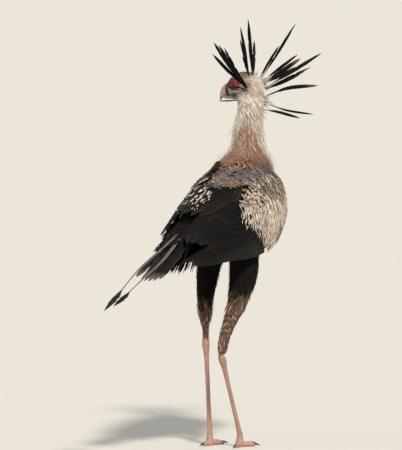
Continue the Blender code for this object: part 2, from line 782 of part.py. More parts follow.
def view_point(right, ahead, z):
    """Bird coordinates of a point given along the photo's view."""
    return VIEW_RIGHT * right + VIEW_AHEAD * ahead + Vector((0, 0, z))


def crest_feathers():
    """The long feathers that stand off the nape."""
    feathers = []
    centre = view_point(0.060, 0.115, 1.085)
    for k, (root, tip, half_width, sag) in enumerate(CREST):
        root = view_point(*root)
        tip = view_point(*tip)
        inward = (centre - root) * 0.22
        middle = (root * 0.45 + tip * 0.55) - Vector((0, 0, sag))
        path = [root + inward, root, middle, tip]
        path = [tuple(p) for p in path]
        widths = [half_width * w for w in CREST_PROFILE]
        facing = -VIEW_AHEAD
        feathers.append(path_vane("crest", path, widths, facing, CREST_THICK))
    return feathers


def tail_point(back, left, up):
    """Bird coordinates of a point in the tail's frame."""
    c = math.cos(TAIL_DROP)
    s = math.sin(TAIL_DROP)
    return TAIL_AT + Vector((-back * c - up * s, left, -back * s + up * c))


# Tail base sections: back, centre left, half width, half thickness.
TAIL = (
    (0.000, 0.000, 0.030, 0.026),
    (0.050, 0.000, 0.033, 0.022),
    (0.100, -0.001, 0.034, 0.016),
    (0.160, -0.003, 0.033, 0.010),
    (0.220, -0.006, 0.030, 0.006),
    (0.270, -0.008, 0.018, 0.003),
)
TAIL_SIDES = 14
TAIL_UP = Vector((-math.sin(TAIL_DROP), 0.0, math.cos(TAIL_DROP)))
# Lateral tail feathers as tips: back, left, up; they lie under the central pair.
LATERALS = (
    (0.345, 0.026, -0.016),
    (0.366, 0.022, -0.012),
    (0.382, 0.017, -0.009),
    (0.394, 0.010, -0.006),
    (0.402, 0.002, -0.003),
    (0.375, -0.058, -0.022),
    (0.395, -0.049, -0.017),
    (0.408, -0.040, -0.012),
    (0.414, -0.030, -0.008),
    (0.412, -0.020, -0.004),
)
LATERAL_PROFILE = (0.0080, 0.0115, 0.0135, 0.0115, 0.0030)
CENTRALS = (
    (((0.12, 0.004, 0.008), (0.30, 0.006, 0.006), (0.46, 0.003, -0.001), (0.620, -0.004, -0.006)), 0.0035),
    (((0.12, -0.012, 0.006), (0.30, -0.036, 0.004), (0.46, -0.024, -0.003), (0.600, -0.018, -0.008)), 0.0),
)
CENTRAL_PROFILE = (0.0090, 0.0095, 0.0090, 0.0085, 0.0100, 0.0165, 0.0150, 0.0030)
TAIL_FEATHER_THICK = 0.0018


def tail_body():
    """The folded tail with its two long central feathers."""
    rings = []
    for back, left, half_width, half_thick in TAIL:
        across = Vector((0, half_width, 0))
        rings.append(oval(tail_point(back, left, 0), across, TAIL_UP * half_thick, TAIL_SIDES))
    tail = loft("tail", rings)
    feathers = []
    for back, left, up in LATERALS:
        root = (0.10, left * 0.45, up * 0.20)
        middle = (0.22, left * 0.75, up * 0.55)
        points = [tuple(tail_point(*p)) for p in (root, middle, (back, left, up))]
        facing = (TAIL_UP + Vector((0, left * 6, 0))).normalized()
        feathers.append(path_vane("lateral", points, LATERAL_PROFILE, facing, TAIL_FEATHER_THICK))
    for path, lift in CENTRALS:
        points = [tuple(tail_point(b, l, u + lift)) for b, l, u in path]
        feathers.append(path_vane("central", points, CENTRAL_PROFILE, TAIL_UP, TAIL_FEATHER_THICK))
    fuse(tail, feathers)
    return tail


# Thigh sections by side: centre x, centre y, z, half depth, half width, top to hock.
THIGHS = {
    1: (
        (0.010, 0.050, 0.660, 0.052, 0.034),
        (0.002, 0.053, 0.615, 0.052, 0.037),
        (-0.008, 0.057, 0.570, 0.046, 0.037),
        (-0.020, 0.060, 0.520, 0.037, 0.033),
        (-0.034, 0.058, 0.470, 0.029, 0.027),
        (-0.043, 0.055, 0.425, 0.024, 0.022),
        (-0.047, 0.052, 0.390, 0.0165, 0.0155),
        (-0.048, 0.050, 0.360, 0.0125, 0.0115),
        (-0.047, 0.050, 0.336, 0.0125, 0.0115),
    ),
    -1: (
        (0.014, -0.050, 0.655, 0.054, 0.036),
        (0.010, -0.053, 0.610, 0.056, 0.040),
        (0.002, -0.057, 0.565, 0.053, 0.041),
        (-0.008, -0.060, 0.515, 0.048, 0.040),
        (-0.028, -0.060, 0.470, 0.038, 0.034),
        (-0.050, -0.060, 0.430, 0.030, 0.028),
        (-0.078, -0.057, 0.390, 0.0245, 0.0225),
        (-0.100, -0.053, 0.352, 0.0200, 0.0185),
        (-0.112, -0.052, 0.320, 0.0180, 0.0165),
        (-0.117, -0.052, 0.296, 0.0150, 0.0140),
    ),
}
THIGH_SIDES = 14
# Rings of trouser feathers: root height, count, length, half width.
THIGH_LOCKS = (
    (0.520, 5, 0.056, 0.0130),
    (0.472, 5, 0.054, 0.0110),
    (0.428, 3, 0.042, 0.0100),
)

# Hock and ankle centres by side.
HOCKS = {1: Vector((-0.047, 0.050, 0.322)), -1: Vector((-0.118, -0.052, 0.282))}
ANKLES = {1: Vector((-0.024, 0.050, 0.040)), -1: Vector((-0.012, -0.050, 0.040))}
# Tarsus profile: how far down it, half depth, half width.
TARSUS = (
    (0.000, 0.0120, 0.0105),
    (0.040, 0.0135, 0.0115),
    (0.080, 0.0115, 0.0098),
    (0.140, 0.0085, 0.0072),
    (0.300, 0.0070, 0.0062),
    (0.600, 0.0066, 0.0060),
    (0.880, 0.0072, 0.0068),
    (1.000, 0.0082, 0.0080),
)
TARSUS_SIDES = 12
# Scutes down the front of the tarsus.
SCUTES = 11
SCUTE_FIRST = 0.14
SCUTE_LAST = 0.94
SCUTE_FORWARD = 0.0055
SCUTE_WIDE = 0.0052
SCUTE_THICK = 0.0022

# Toes: heading from straight ahead in degrees, length, radius at the root and at the tip.
TOES = (
    (0.0, 0.062, 0.0088, 0.0066),
    (34.0, 0.048, 0.0086, 0.0064),
    (-34.0, 0.050, 0.0086, 0.0064),
    (165.0, 0.032, 0.0082, 0.0062),
)
FOOT_TURN = {1: math.radians(8.0), -1: math.radians(-8.0)}
CLAW_LENGTHS = (0.019, 0.017, 0.017, 0.018)
TOE_LEVEL = 0.0066
SOLE_DEPTH = 0.0008


def thigh_body(side):
    """One leg from the hip to the hock, feathered above."""
    rings = []
    rows = THIGHS[side]
    for x, y, z, half_depth, half_width in rows:
        centre = Vector((x, y, z))
        rings.append(oval(centre, Vector((half_depth, 0, 0)), Vector((0, half_width, 0)), THIGH_SIDES))
    thigh = loft("thigh", rings)
    fuse(thigh, thigh_locks(side))
    return thigh


def thigh_section(side, z):
    """Centre x and y, half depth and half width of a thigh at a height."""
    rows = THIGHS[side]
    for high, low in zip(rows[:-1], rows[1:]):
        if low[2] <= z <= high[2]:
            u = (high[2] - z) / (high[2] - low[2])
            row = [p + (q - p) * u for p, q in zip(high, low)]
            return row[0], row[1], row[3], row[4]
    row = rows[-1] if z < rows[-1][2] else rows[0]
    return row[0], row[1], row[3], row[4]


def thigh_locks(side):
    """The ragged ends of the trousers."""
    rng = random.Random(20 + side)
    feathers = []
    for level, (z, count, length, half_width_lock) in enumerate(THIGH_LOCKS):
        for k in range(count):
            angle = 2 * math.pi * (k + 0.5 * (level % 2) + rng.uniform(-0.12, 0.12)) / count
            high = z + rng.uniform(-0.006, 0.006)
            reach = length * rng.uniform(*LENGTH_SPREAD)
            x, y, half_depth, half_width = thigh_section(side, high)
            low_x, low_y, low_depth, low_width = thigh_section(side, high - reach)
            ahead = math.cos(angle)
            aside = math.sin(angle)
            here = Vector((x + half_depth * ahead, y + half_width * aside, high))
            there = Vector((low_x + low_depth * ahead, low_y + low_width * aside, high - reach))
            along = (there - here).normalized()
            outward = Vector((ahead, aside, 0))
            outward = (outward - along * outward.dot(along)).normalized()
            lift = rng.uniform(*THIGH_LOCK_LIFT)
            feathers.append(lock(here, along, outward, reach, half_width_lock, lift, LOCK_THICK))
    return feathers


def tarsus_body(side):
    """The bare lower leg between the hock and the ankle."""
    hock = HOCKS[side]
    ankle = ANKLES[side]
    rings = []
    top = Vector(THIGHS[side][-1][:3]) - Vector((0, 0, GAP))
    for t, half_depth, half_width in TARSUS:
        centre = hock.lerp(ankle, max(t - 0.04, 0.0) / 0.96)
        if t == 0.0:
            centre = top
        rings.append(oval(centre, Vector((half_depth, 0, 0)), Vector((0, half_width, 0)), TARSUS_SIDES))
    tarsus = loft("tarsus", rings)
    down = (ankle - hock).normalized()
    ahead = Vector((1, 0, 0))
    ahead = (ahead - down * ahead.dot(down)).normalized()
    across = down.cross(ahead)
    plates = []
    for k in range(SCUTES):
        u = SCUTE_FIRST + (SCUTE_LAST - SCUTE_FIRST) * k / (SCUTES - 1)
        centre = hock.lerp(ankle, u) + ahead * SCUTE_FORWARD
        half = (hock - ankle).length * (SCUTE_LAST - SCUTE_FIRST) / (SCUTES - 1) * 0.42
        plates.append(plate("scute", centre, across, down, ahead, SCUTE_WIDE, half, SCUTE_THICK))
    fuse(tarsus, plates)
    return tarsus


def plate(name, centre, across, down, ahead, half_width, half_length, half_thick):
    """A flat raised plate, narrower at its outer face."""
    low = []
    high = []
    for a, b in ((-1, -1), (1, -1), (1, 1), (-1, 1)):
        corner = centre + across * (a * half_width) + down * (b * half_length)
        low.append(corner - ahead * half_thick)
        inner = centre + across * (a * half_width * 0.55) + down * (b * half_length * 0.75)
        high.append(inner + ahead * half_thick)
    faces = [(0, 3, 2, 1), (4, 5, 6, 7)]
    faces += [(k, (k + 1) % 4, 4 + (k + 1) % 4, 4 + k) for k in range(4)]
    return mesh_object(name, low + high, faces)


def toe_frame(side, index):
    """Root, heading and sideways direction of one toe."""
    heading, length, root_radius, tip_radius = TOES[index]
    angle = FOOT_TURN[side] + side * math.radians(heading)
    along = Vector((math.cos(angle), math.sin(angle), 0))
    across = Vector((-math.sin(angle), math.cos(angle), 0))
    root = Vector((ANKLES[side].x, ANKLES[side].y, TOE_LEVEL))
    return root, along, across


# Toes: rings, swelling of the pads, start inside the foot, and height as a share of the width.
TOE_STATIONS = 7
TOE_SWELL = 0.08
TOE_START = 0.004
TOE_FLATNESS = 0.92


def toe_body(side, index):
    """One toe as a padded finger."""
    heading, length, root_radius, tip_radius = TOES[index]
    root, along, across = toe_frame(side, index)
    rings = []
    for k in range(TOE_STATIONS):
        t = k / (TOE_STATIONS - 1)
        radius = root_radius + (tip_radius - root_radius) * t
        radius = radius * (1.0 + TOE_SWELL * math.cos(k * math.pi))
        centre = root + along * (TOE_START + (length - TOE_START) * t)
        height = radius * TOE_FLATNESS
        centre.z = height - SOLE_DEPTH
        rings.append(oval(centre, across * radius, Vector((0, 0, height)), 8))
    return loft("toe", rings)


# Claws: rings, thickness as a share of the toe, taper and tip, and the height they start, arch and drop.
CLAW_STATIONS = 5
CLAW_SHARE = 0.62
CLAW_TAPER = 0.75
CLAW_TIP = 0.0005
CLAW_LEVEL = 0.0072
CLAW_ARCH = 0.0012
CLAW_DROP = 0.0052
CLAW_LEAN = 0.45


def claw_body(side, index):
    """One claw, curving down from the end of its toe."""
    length = TOES[index][1]
    radius = TOES[index][3] * CLAW_SHARE
    root, along, across = toe_frame(side, index)
    reach = CLAW_LENGTHS[index]
    rings = []
    for k in range(CLAW_STATIONS):
        t = k / (CLAW_STATIONS - 1)
        centre = root + along * (length + GAP + reach * t)
        size = radius * (1 - t) ** CLAW_TAPER + CLAW_TIP
        centre.z = CLAW_LEVEL + CLAW_ARCH * math.sin(t * math.pi) - CLAW_DROP * t * t
        up = (Vector((0, 0, 1)) + along * CLAW_LEAN * t).normalized()
        if k == 0:
            up = Vector((0, 0, 1))
        rings.append(oval(centre, across * size * 0.8, up * size, 6))
    return loft("claw", rings)


# Ankle and foot: half depth and half width at the top and the sole, and rows with their heights between.
FOOT_TOP = (0.0082, 0.0080)
FOOT_ROWS = (
    (0.030, 0.0088, 0.0090),
    (0.020, 0.0105, 0.0112),
    (0.012, 0.0130, 0.0135),
    (0.005, 0.0135, 0.0140),
)
FOOT_SOLE = (0.0115, 0.0120)
FLOOR_REACH = 0.2
FLOOR_DEPTH = 0.1


def foot_body(side):
    """The ankle and toes, cut flat where they meet the floor."""
    ankle = ANKLES[side]
    rings = []
    rows = [(ankle.z - GAP,) + FOOT_TOP]
    rows += FOOT_ROWS
    rows.append((-SOLE_DEPTH,) + FOOT_SOLE)
    for z, half_depth, half_width in rows:
        centre = Vector((ankle.x, ankle.y, z))
        rings.append(oval(centre, Vector((half_depth, 0, 0)), Vector((0, half_width, 0)), TARSUS_SIDES))
    foot = loft("foot", rings)
    fuse(foot, [toe_body(side, k) for k in range(len(TOES))])
    near = (ankle.x - FLOOR_REACH, ankle.y - FLOOR_REACH, -FLOOR_DEPTH)
    far = (ankle.x + FLOOR_REACH, ankle.y + FLOOR_REACH, 0.0)
    floor = box("floor", near, far)
    cut(foot, floor)
    return foot


# Block that keeps each wing on its own side: x from and to, z from and to, width.
SIDE_BLOCK = (-0.6, 0.4, 0.4, 1.0, 0.4)


def build():
    """Every node of the bird."""
    start()
    torso = torso_body("torso")

    neck = neck_body("neck")
    fuse(neck, neck_locks())
    cut(neck, torso_body("torso_cutter", GAP))

    head = throat_body("head")
    bodies = [skull_body("skull")]
    bodies += [lid_body(side) for side in (1, -1)]
    bodies += [brow_body(side) for side in (1, -1)]
    bodies += crest_feathers()
    bodies += nape_locks()
    fuse(head, bodies)
    for side, label in ((1, "left"), (-1, "right")):
        centre = eye_centre(side)
        cut(head, ball("socket", centre, EYE_RADIUS + GAP))
        finish(ball("eye", centre, EYE_RADIUS), "eye_gloss", "eye_" + label)

    upper = bill_body("bill_upper", BILL_UPPER, BILL_UPPER_TIP)
    lower = bill_body("bill_lower", BILL_LOWER, BILL_LOWER_TIP)
    cut(lower, bill_body("bill_cutter", BILL_UPPER, BILL_UPPER_TIP, GAP))
    for side in (1, -1):
        cut(upper, nostril(side))
    for half in (upper, lower):
        cut(half, skull_body("skull_cutter", GAP))
        cut(half, throat_body("throat_cutter", GAP))
    finish(upper, "bill_horn")
    finish(lower, "bill_horn")
    finish(head, "pale_plumage")
    finish(neck, "pale_plumage")

    tail = tail_body()
    cut(tail, torso_body("torso_cutter", GAP))
    finish(tail, "black_plumage")

    for side, label in ((1, "left"), (-1, "right")):
        wing = wing_slab("wing", side)
        fuse(wing, wing_feathers(side))
        cut(wing, torso_body("torso_cutter", GAP))
        cut(wing, neck_body("neck_cutter", NECK_CLEAR))
        back, front, low, high, width = SIDE_BLOCK
        far = -side * width
        near = side * MIDLINE_GAP
        cut(wing, box("midline", (back, min(far, near), low), (front, max(far, near), high)))
        finish(wing, "cream_plumage", "wing_" + label)
        thigh = thigh_body(side)
        cut(thigh, torso_body("torso_cutter", GAP))
        finish(thigh, "black_plumage", "thigh_" + label)
        finish(tarsus_body(side), "leg_skin", "tarsus_" + label)
        finish(foot_body(side), "leg_skin", "foot_" + label)
        for index in range(len(TOES)):
            finish(claw_body(side, index), "claw_horn", "claw_" + label + "_" + str(index + 1))

    finish(torso, "grey_plumage")


build()
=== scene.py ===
"""Secretary bird dressed for the render: one skin, a modelled coat of feathers, and bare parts.

Metres, +Z up. Shapes are laid out in bird coordinates (X ahead, Y left, X = Y = 0 between the
feet) with the same named sizes as the solids, and moved by SHIFT into the frame when shown.
"""
import json
import math
import random

import bmesh
import bpy
import numpy as np
from mathutils import Matrix, Vector
from mathutils.bvhtree import BVHTree
from mathutils.kdtree import KDTree

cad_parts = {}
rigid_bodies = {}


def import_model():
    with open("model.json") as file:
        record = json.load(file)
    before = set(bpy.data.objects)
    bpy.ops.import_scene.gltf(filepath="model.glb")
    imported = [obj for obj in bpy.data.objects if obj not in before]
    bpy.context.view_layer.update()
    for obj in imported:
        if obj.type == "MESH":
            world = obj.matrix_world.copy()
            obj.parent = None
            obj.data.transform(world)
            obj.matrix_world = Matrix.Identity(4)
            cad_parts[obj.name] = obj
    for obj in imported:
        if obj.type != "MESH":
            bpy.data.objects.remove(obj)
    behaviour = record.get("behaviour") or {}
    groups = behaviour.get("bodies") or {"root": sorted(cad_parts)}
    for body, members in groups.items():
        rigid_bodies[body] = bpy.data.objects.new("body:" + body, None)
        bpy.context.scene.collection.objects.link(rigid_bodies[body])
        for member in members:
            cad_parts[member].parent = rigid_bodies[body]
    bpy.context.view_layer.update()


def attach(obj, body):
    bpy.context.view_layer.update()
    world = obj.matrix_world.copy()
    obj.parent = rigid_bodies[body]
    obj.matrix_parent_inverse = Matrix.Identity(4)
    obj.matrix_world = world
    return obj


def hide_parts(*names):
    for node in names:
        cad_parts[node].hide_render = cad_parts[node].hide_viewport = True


SHIFT = Vector((0.2082, 0.0227, 0.0))

# Sizes shared with the solids.
TORSO = (
    (0.187, 0.775, 0.022, 0.022), (0.165, 0.775, 0.075, 0.055), (0.130, 0.770, 0.105, 0.078),
    (0.080, 0.757, 0.125, 0.090), (0.020, 0.742, 0.128, 0.092), (-0.040, 0.730, 0.115, 0.088),
    (-0.100, 0.715, 0.090, 0.075), (-0.150, 0.708, 0.065, 0.058), (-0.195, 0.700, 0.040, 0.040),
    (-0.212, 0.697, 0.018, 0.018),
)
NECK = (
    (0.830, 0.100, 0.090, 0.088), (0.862, 0.110, 0.079, 0.077), (0.885, 0.115, 0.066, 0.063),
    (0.905, 0.118, 0.055, 0.054), (0.930, 0.118, 0.049, 0.048), (0.960, 0.119, 0.045, 0.044),
    (0.990, 0.121, 0.041, 0.040), (1.012, 0.124, 0.038, 0.037),
)
THROAT = (
    (1.000, 0.124, 0.000, 0.038, 0.037), (1.030, 0.125, -0.004, 0.038, 0.041),
    (1.050, 0.126, 0.000, 0.036, 0.043), (1.070, 0.127, 0.010, 0.030, 0.045),
    (1.085, 0.127, 0.022, 0.020, 0.030),
)
HEAD_AT = Vector((0.127, 0.025, 1.090))
HEAD_YAW = math.radians(97.0)
HEAD_PITCH = math.radians(3.0)
SKULL = (
    (-0.064, -0.012, 0.008, 0.008), (-0.052, -0.005, 0.028, 0.025), (-0.032, 0.002, 0.040, 0.033),
    (-0.006, 0.004, 0.0425, 0.034), (0.018, 0.001, 0.038, 0.030), (0.038, -0.003, 0.030, 0.022),
    (0.050, -0.006, 0.021, 0.0145), (0.056, -0.007, 0.013, 0.009),
)
BILL_UPPER = (
    (0.036, 0.016, 0.033, -0.0235, 0.0130), (0.051, 0.0145, 0.046, -0.0235, 0.0112),
    (0.060, 0.0100, 0.054, -0.0225, 0.0095), (0.068, 0.0020, 0.061, -0.0235, 0.0076),
    (0.0745, -0.0080, 0.0665, -0.0265, 0.0056), (0.0778, -0.0200, 0.0705, -0.0310, 0.0038),
    (0.0785, -0.0310, 0.0745, -0.0360, 0.0020), (0.0772, -0.0400, 0.0768, -0.0404, 0.0003),
)
BILL_LOWER = (
    (0.030, -0.0215, 0.030, -0.0330, 0.0108), (0.045, -0.0215, 0.044, -0.0345, 0.0094),
    (0.056, -0.0215, 0.055, -0.0335, 0.0072), (0.0635, -0.0245, 0.063, -0.0320, 0.0048),
    (0.0685, -0.0288, 0.0683, -0.0292, 0.0003),
)
EYE_AT = (0.022, 0.0225, 0.010)
EYE_RADIUS = 0.0092
BROW = ((-0.002, 0.0275, 0.019), (0.012, 0.0275, 0.0215), (0.028, 0.0235, 0.0205), (0.042, 0.0155, 0.015))
NOSTRIL_AT = (0.0565, 0.0102, 0.0005)
NOSTRIL_SIZE = (0.0036, 0.0026, 0.0016)
WING = (
    ((0.163, 0.062, 0.700), (0.176, 0.074, 0.728), (0.182, 0.078, 0.762), (0.174, 0.074, 0.800),
     (0.150, 0.062, 0.834)),
    ((0.118, 0.108, 0.640), (0.126, 0.126, 0.682), (0.130, 0.130, 0.738), (0.120, 0.114, 0.808),
     (0.098, 0.070, 0.856)),
    ((0.052, 0.114, 0.602), (0.058, 0.132, 0.660), (0.060, 0.134, 0.732), (0.048, 0.106, 0.806),
     (0.026, 0.046, 0.872)),
    ((-0.045, 0.114, 0.586), (-0.047, 0.132, 0.645), (-0.050, 0.126, 0.715), (-0.057, 0.084, 0.792),
     (-0.066, 0.012, 0.850)),
    ((-0.140, 0.102, 0.580), (-0.146, 0.118, 0.628), (-0.150, 0.108, 0.690), (-0.156, 0.068, 0.750),
     (-0.164, 0.008, 0.796)),
    ((-0.240, 0.086, 0.572), (-0.246, 0.094, 0.605), (-0.250, 0.087, 0.650), (-0.254, 0.062, 0.692),
     (-0.256, 0.010, 0.730)),
    ((-0.332, 0.078, 0.580), (-0.340, 0.080, 0.594), (-0.344, 0.078, 0.610), (-0.340, 0.074, 0.626),
     (-0.330, 0.066, 0.640)),
)
WING_TIP_SHIFT = {1: (0.026, -0.018, 0.012), -1: (-0.036, -0.004, -0.014)}
WING_AXIS_Z = 0.735
TAIL_AT = Vector((-0.150, 0.0, 0.727))
TAIL_DROP = math.radians(25.0)
TAIL_UP = Vector((-math.sin(TAIL_DROP), 0.0, math.cos(TAIL_DROP)))
TAIL = (
    (0.000, 0.000, 0.030, 0.026), (0.050, 0.000, 0.033, 0.022), (0.100, -0.001, 0.034, 0.016),
    (0.160, -0.003, 0.033, 0.010), (0.220, -0.006, 0.030, 0.006),
)
LATERALS = (
    (0.345, 0.026, -0.016), (0.366, 0.022, -0.012), (0.382, 0.017, -0.009), (0.394, 0.010, -0.006),
    (0.402, 0.002, -0.003), (0.375, -0.058, -0.022), (0.395, -0.049, -0.017), (0.408, -0.040, -0.012),
    (0.414, -0.030, -0.008), (0.412, -0.020, -0.004),
)
THIGHS = {
    1: (
        (0.010, 0.050, 0.660, 0.052, 0.034), (0.002, 0.053, 0.615, 0.052, 0.037),
        (-0.008, 0.057, 0.570, 0.046, 0.037), (-0.020, 0.060, 0.520, 0.037, 0.033),
        (-0.034, 0.058, 0.470, 0.029, 0.027), (-0.043, 0.055, 0.425, 0.024, 0.022),
        (-0.047, 0.052, 0.390, 0.0165, 0.0155), (-0.048, 0.050, 0.360, 0.0125, 0.0115),
        (-0.047, 0.050, 0.336, 0.0125, 0.0115),
    ),
    -1: (
        (0.014, -0.050, 0.655, 0.054, 0.036), (0.010, -0.053, 0.610, 0.056, 0.040),
        (0.002, -0.057, 0.565, 0.053, 0.041), (-0.008, -0.060, 0.515, 0.048, 0.040),
        (-0.028, -0.060, 0.470, 0.038, 0.034), (-0.050, -0.060, 0.430, 0.030, 0.028),
        (-0.078, -0.057, 0.390, 0.0245, 0.0225), (-0.100, -0.053, 0.352, 0.0200, 0.0185),
        (-0.112, -0.052, 0.320, 0.0180, 0.0165), (-0.117, -0.052, 0.296, 0.0150, 0.0140),
    ),
}
HOCKS = {1: Vector((-0.047, 0.050, 0.322)), -1: Vector((-0.118, -0.052, 0.282))}
ANKLES = {1: Vector((-0.024, 0.050, 0.040)), -1: Vector((-0.012, -0.050, 0.040))}
TARSUS = (
    (-0.060, 0.0105, 0.0095), (0.000, 0.0125, 0.0110), (0.040, 0.0135, 0.0115), (0.080, 0.0115, 0.0098),
    (0.140, 0.0085, 0.0072), (0.300, 0.0070, 0.0062), (0.600, 0.0066, 0.0060), (0.880, 0.0072, 0.0068),
    (1.000, 0.0082, 0.0080),
)
TOES = (
    (0.0, 0.062, 0.0088, 0.0066), (34.0, 0.048, 0.0086, 0.0064), (-34.0, 0.050, 0.0086, 0.0064),
    (165.0, 0.032, 0.0082, 0.0062),
)
FOOT_TURN = {1: math.radians(8.0), -1: math.radians(-8.0)}
CLAW_LENGTHS = (0.019, 0.017, 0.017, 0.018)
TOE_LEVEL = 0.0066

# Directions of the photo's view.
VIEW_RIGHT = Vector((0.530, -0.848, 0.0))
VIEW_AHEAD = Vector((0.848, 0.530, 0.0))
VIEW_TILT = math.radians(4.5)
VIEW_AIM = (-0.082, 0.0, 0.676)
VIEW_DISTANCE = 19.06
VIEW_LENS = 500.0
VIEW_SENSOR = 36.0

# Crest feathers as root and tip, each (right, ahead, z) in the view, half width, droop.
CREST = (
    ((0.056, 0.075, 1.093), (-0.0436, 0.020, 1.232), 0.0085, 0.004),
    ((0.048, 0.080, 1.100), (-0.0476, 0.050, 1.196), 0.0070, 0.004),
    ((0.060, 0.085, 1.090), (-0.0122, 0.060, 1.215), 0.0060, 0.006),
    ((0.070, 0.095, 1.100), (0.0384, 0.110, 1.275), 0.0060, -0.004),
    ((0.078, 0.105, 1.092), (0.0620, 0.090, 1.300), 0.0075, 0.000),
    ((0.079, 0.120, 1.100), (0.0814, 0.170, 1.232), 0.0065, 0.000),
    ((0.084, 0.110, 1.095), (0.1574, 0.130, 1.217), 0.0055, -0.002),
    ((0.088, 0.125, 1.093), (0.2092, 0.170, 1.284), 0.0060, 0.002),
    ((0.092, 0.110, 1.098), (0.2144, 0.100, 1.192), 0.0060, 0.000),
    ((0.092, 0.130, 1.093), (0.2245, 0.190, 1.175), 0.0095, 0.002),
    ((0.094, 0.115, 1.078), (0.2876, 0.140, 1.194), 0.0075, 0.002),
    ((0.094, 0.130, 1.074), (0.2358, 0.200, 1.134), 0.0080, 0.002),
    ((0.096, 0.110, 1.056), (0.2763, 0.090, 1.097), 0.0050, -0.012),
    ((0.098, 0.120, 1.048), (0.2647, 0.160, 1.004), 0.0045, 0.008),
    ((0.088, 0.100, 1.026), (0.2217, 0.080, 0.997), 0.0060, -0.004),
    ((0.046, 0.085, 1.052), (-0.0284, 0.075, 1.050), 0.0030, 0.000),
    ((0.068, 0.080, 1.080), (0.0120, 0.060, 1.096), 0.0035, -0.002),
)
# Shorter feathers that fill the crest's groups, in the same form.
CREST_FILL = (
    ((0.054, 0.078, 1.096), (-0.0287, 0.035, 1.224), 0.0075, 0.004),
    ((0.058, 0.082, 1.094), (-0.0150, 0.045, 1.190), 0.0070, 0.004),
    ((0.070, 0.095, 1.102), (0.0369, 0.105, 1.239), 0.0055, -0.004),
    ((0.072, 0.097, 1.100), (0.0442, 0.100, 1.188), 0.0045, -0.002),
    ((0.077, 0.107, 1.094), (0.0700, 0.110, 1.235), 0.0060, 0.000),
    ((0.092, 0.128, 1.092), (0.2132, 0.150, 1.152), 0.0070, 0.002),
    ((0.094, 0.120, 1.078), (0.2546, 0.150, 1.150), 0.0060, 0.002),
    ((0.086, 0.112, 1.096), (0.1300, 0.125, 1.170), 0.0045, -0.002),
)
CREST_CENTRE = (0.060, 0.115, 1.085)


def srgb(red, green, blue):
    """Linear colour of an 8-bit display colour."""
    out = []
    for value in (red, green, blue):
        c = value / 255.0
        out.append(c / 12.92 if c <= 0.04045 else ((c + 0.055) / 1.055) ** 2.4)
    return np.array(out)


CREAM = srgb(222, 204, 182)
WHITE = srgb(232, 222, 208)
WARM_GREY = srgb(150, 138, 128)
BLUE_GREY = srgb(98, 98, 106)
DARK_GREY = srgb(66, 62, 64)
TAN = srgb(196, 158, 122)
RUFOUS = srgb(168, 116, 84)
BLACK = srgb(13, 11, 10)
BROWN_BLACK = srgb(36, 29, 24)
SHANK_BROWN = srgb(100, 74, 57)
SHANK_PALE = srgb(180, 154, 134)
FACE_RED = srgb(214, 84, 82)
# Maroon that stands for the face's red in painted shade.
FACE_SHADE_MAROON = srgb(104, 42, 42)
FACE_BLACK = srgb(44, 34, 34)
CROWN_GREY = srgb(112, 110, 120)
LEG_PINK = srgb(196, 156, 136)


# Plain geometry.
def spline(rows, t):
    """A point on the Catmull-Rom curve through the rows, t from 0 to 1, straight on beyond."""
    last = len(rows) - 1
    if t < 0:
        return [p + t * last * (q - p) for p, q in zip(rows[0], rows[1])]
    if t > 1:
        return [q + (t - 1) * last * (q - p) for p, q in zip(rows[-2], rows[-1])]
    place = t * last
    k = min(int(place), last - 1)
    u = place - k
    b = rows[k]
    c = rows[k + 1]
    a = rows[k - 1] if k > 0 else [2 * p - q for p, q in zip(b, c)]
    d = rows[k + 2] if k + 2 <= last else [2 * q - p for p, q in zip(b, c)]
    result = []
    for p0, p1, p2, p3 in zip(a, b, c, d):
        slope = p2 - p0
        bend = 2 * p0 - 5 * p1 + 4 * p2 - p3
        jerk = 3 * p1 - p0 - 3 * p2 + p3
        result.append(p1 + 0.5 * u * (slope + u * (bend + u * jerk)))
    return result


def smooth(x, low, high):
    """A soft step from 0 at low to 1 at high."""
    u = np.clip((np.asarray(x, float) - low) / (high - low), 0.0, 1.0)
    return u * u * (3 - 2 * u)


def mesh_object(name, verts, faces):
    """An object with its faces turned outward."""
    mesh = bpy.data.meshes.new(name)
    mesh.from_pydata([tuple(v) for v in verts], [], faces)
    sheet = bmesh.new()
    sheet.from_mesh(mesh)
    bmesh.ops.recalc_face_normals(sheet, faces=sheet.faces)
    if sheet.calc_volume(signed=True) < 0:
        bmesh.ops.reverse_faces(sheet, faces=sheet.faces)
    sheet.to_mesh(mesh)
    sheet.free()
    obj = bpy.data.objects.new(name, mesh)
    bpy.context.scene.collection.objects.link(obj)
    return obj


def loft(name, rings, first=None, last=None):
    """A closed body through rings of equal count, its ends drawn to a point each."""
    count = len(rings[0])
    verts = [p for ring in rings for p in ring]
    faces = []
    for r in range(len(rings) - 1):
        for k in range(count):
            a = r * count + k
            b = r * count + (k + 1) % count
            faces.append((a, b, b + count, a + count))
    for ring_index, pole in ((0, first), (len(rings) - 1, last)):
        ring = rings[ring_index]
        if pole is None:
            pole = sum((Vector(p) for p in ring), Vector()) / count
        verts.append(pole)
        base = ring_index * count
        for k in range(count):
            faces.append((base + k, base + (k + 1) % count, len(verts) - 1))
    return mesh_object(name, verts, faces)


def slab_faces(rows, columns):
    """Faces of a closed slab whose outer grid of points is followed by the same grid inside."""
    half = rows * columns
    faces = []
    for i in range(rows - 1):
        for j in range(columns - 1):
            a = i * columns + j
            quad = (a, a + 1, a + 1 + columns, a + columns)
            faces.append(quad)
            faces.append(tuple(half + k for k in reversed(quad)))
    rim = list(range(columns))
    rim += [i * columns + columns - 1 for i in range(1, rows)]
    rim += [(rows - 1) * columns + j for j in range(columns - 2, -1, -1)]
    rim += [i * columns for i in range(rows - 2, 0, -1)]
    for k, a in enumerate(rim):
        b = rim[(k + 1) % len(rim)]
        faces.append((b, a, a + half, b + half))
    return faces


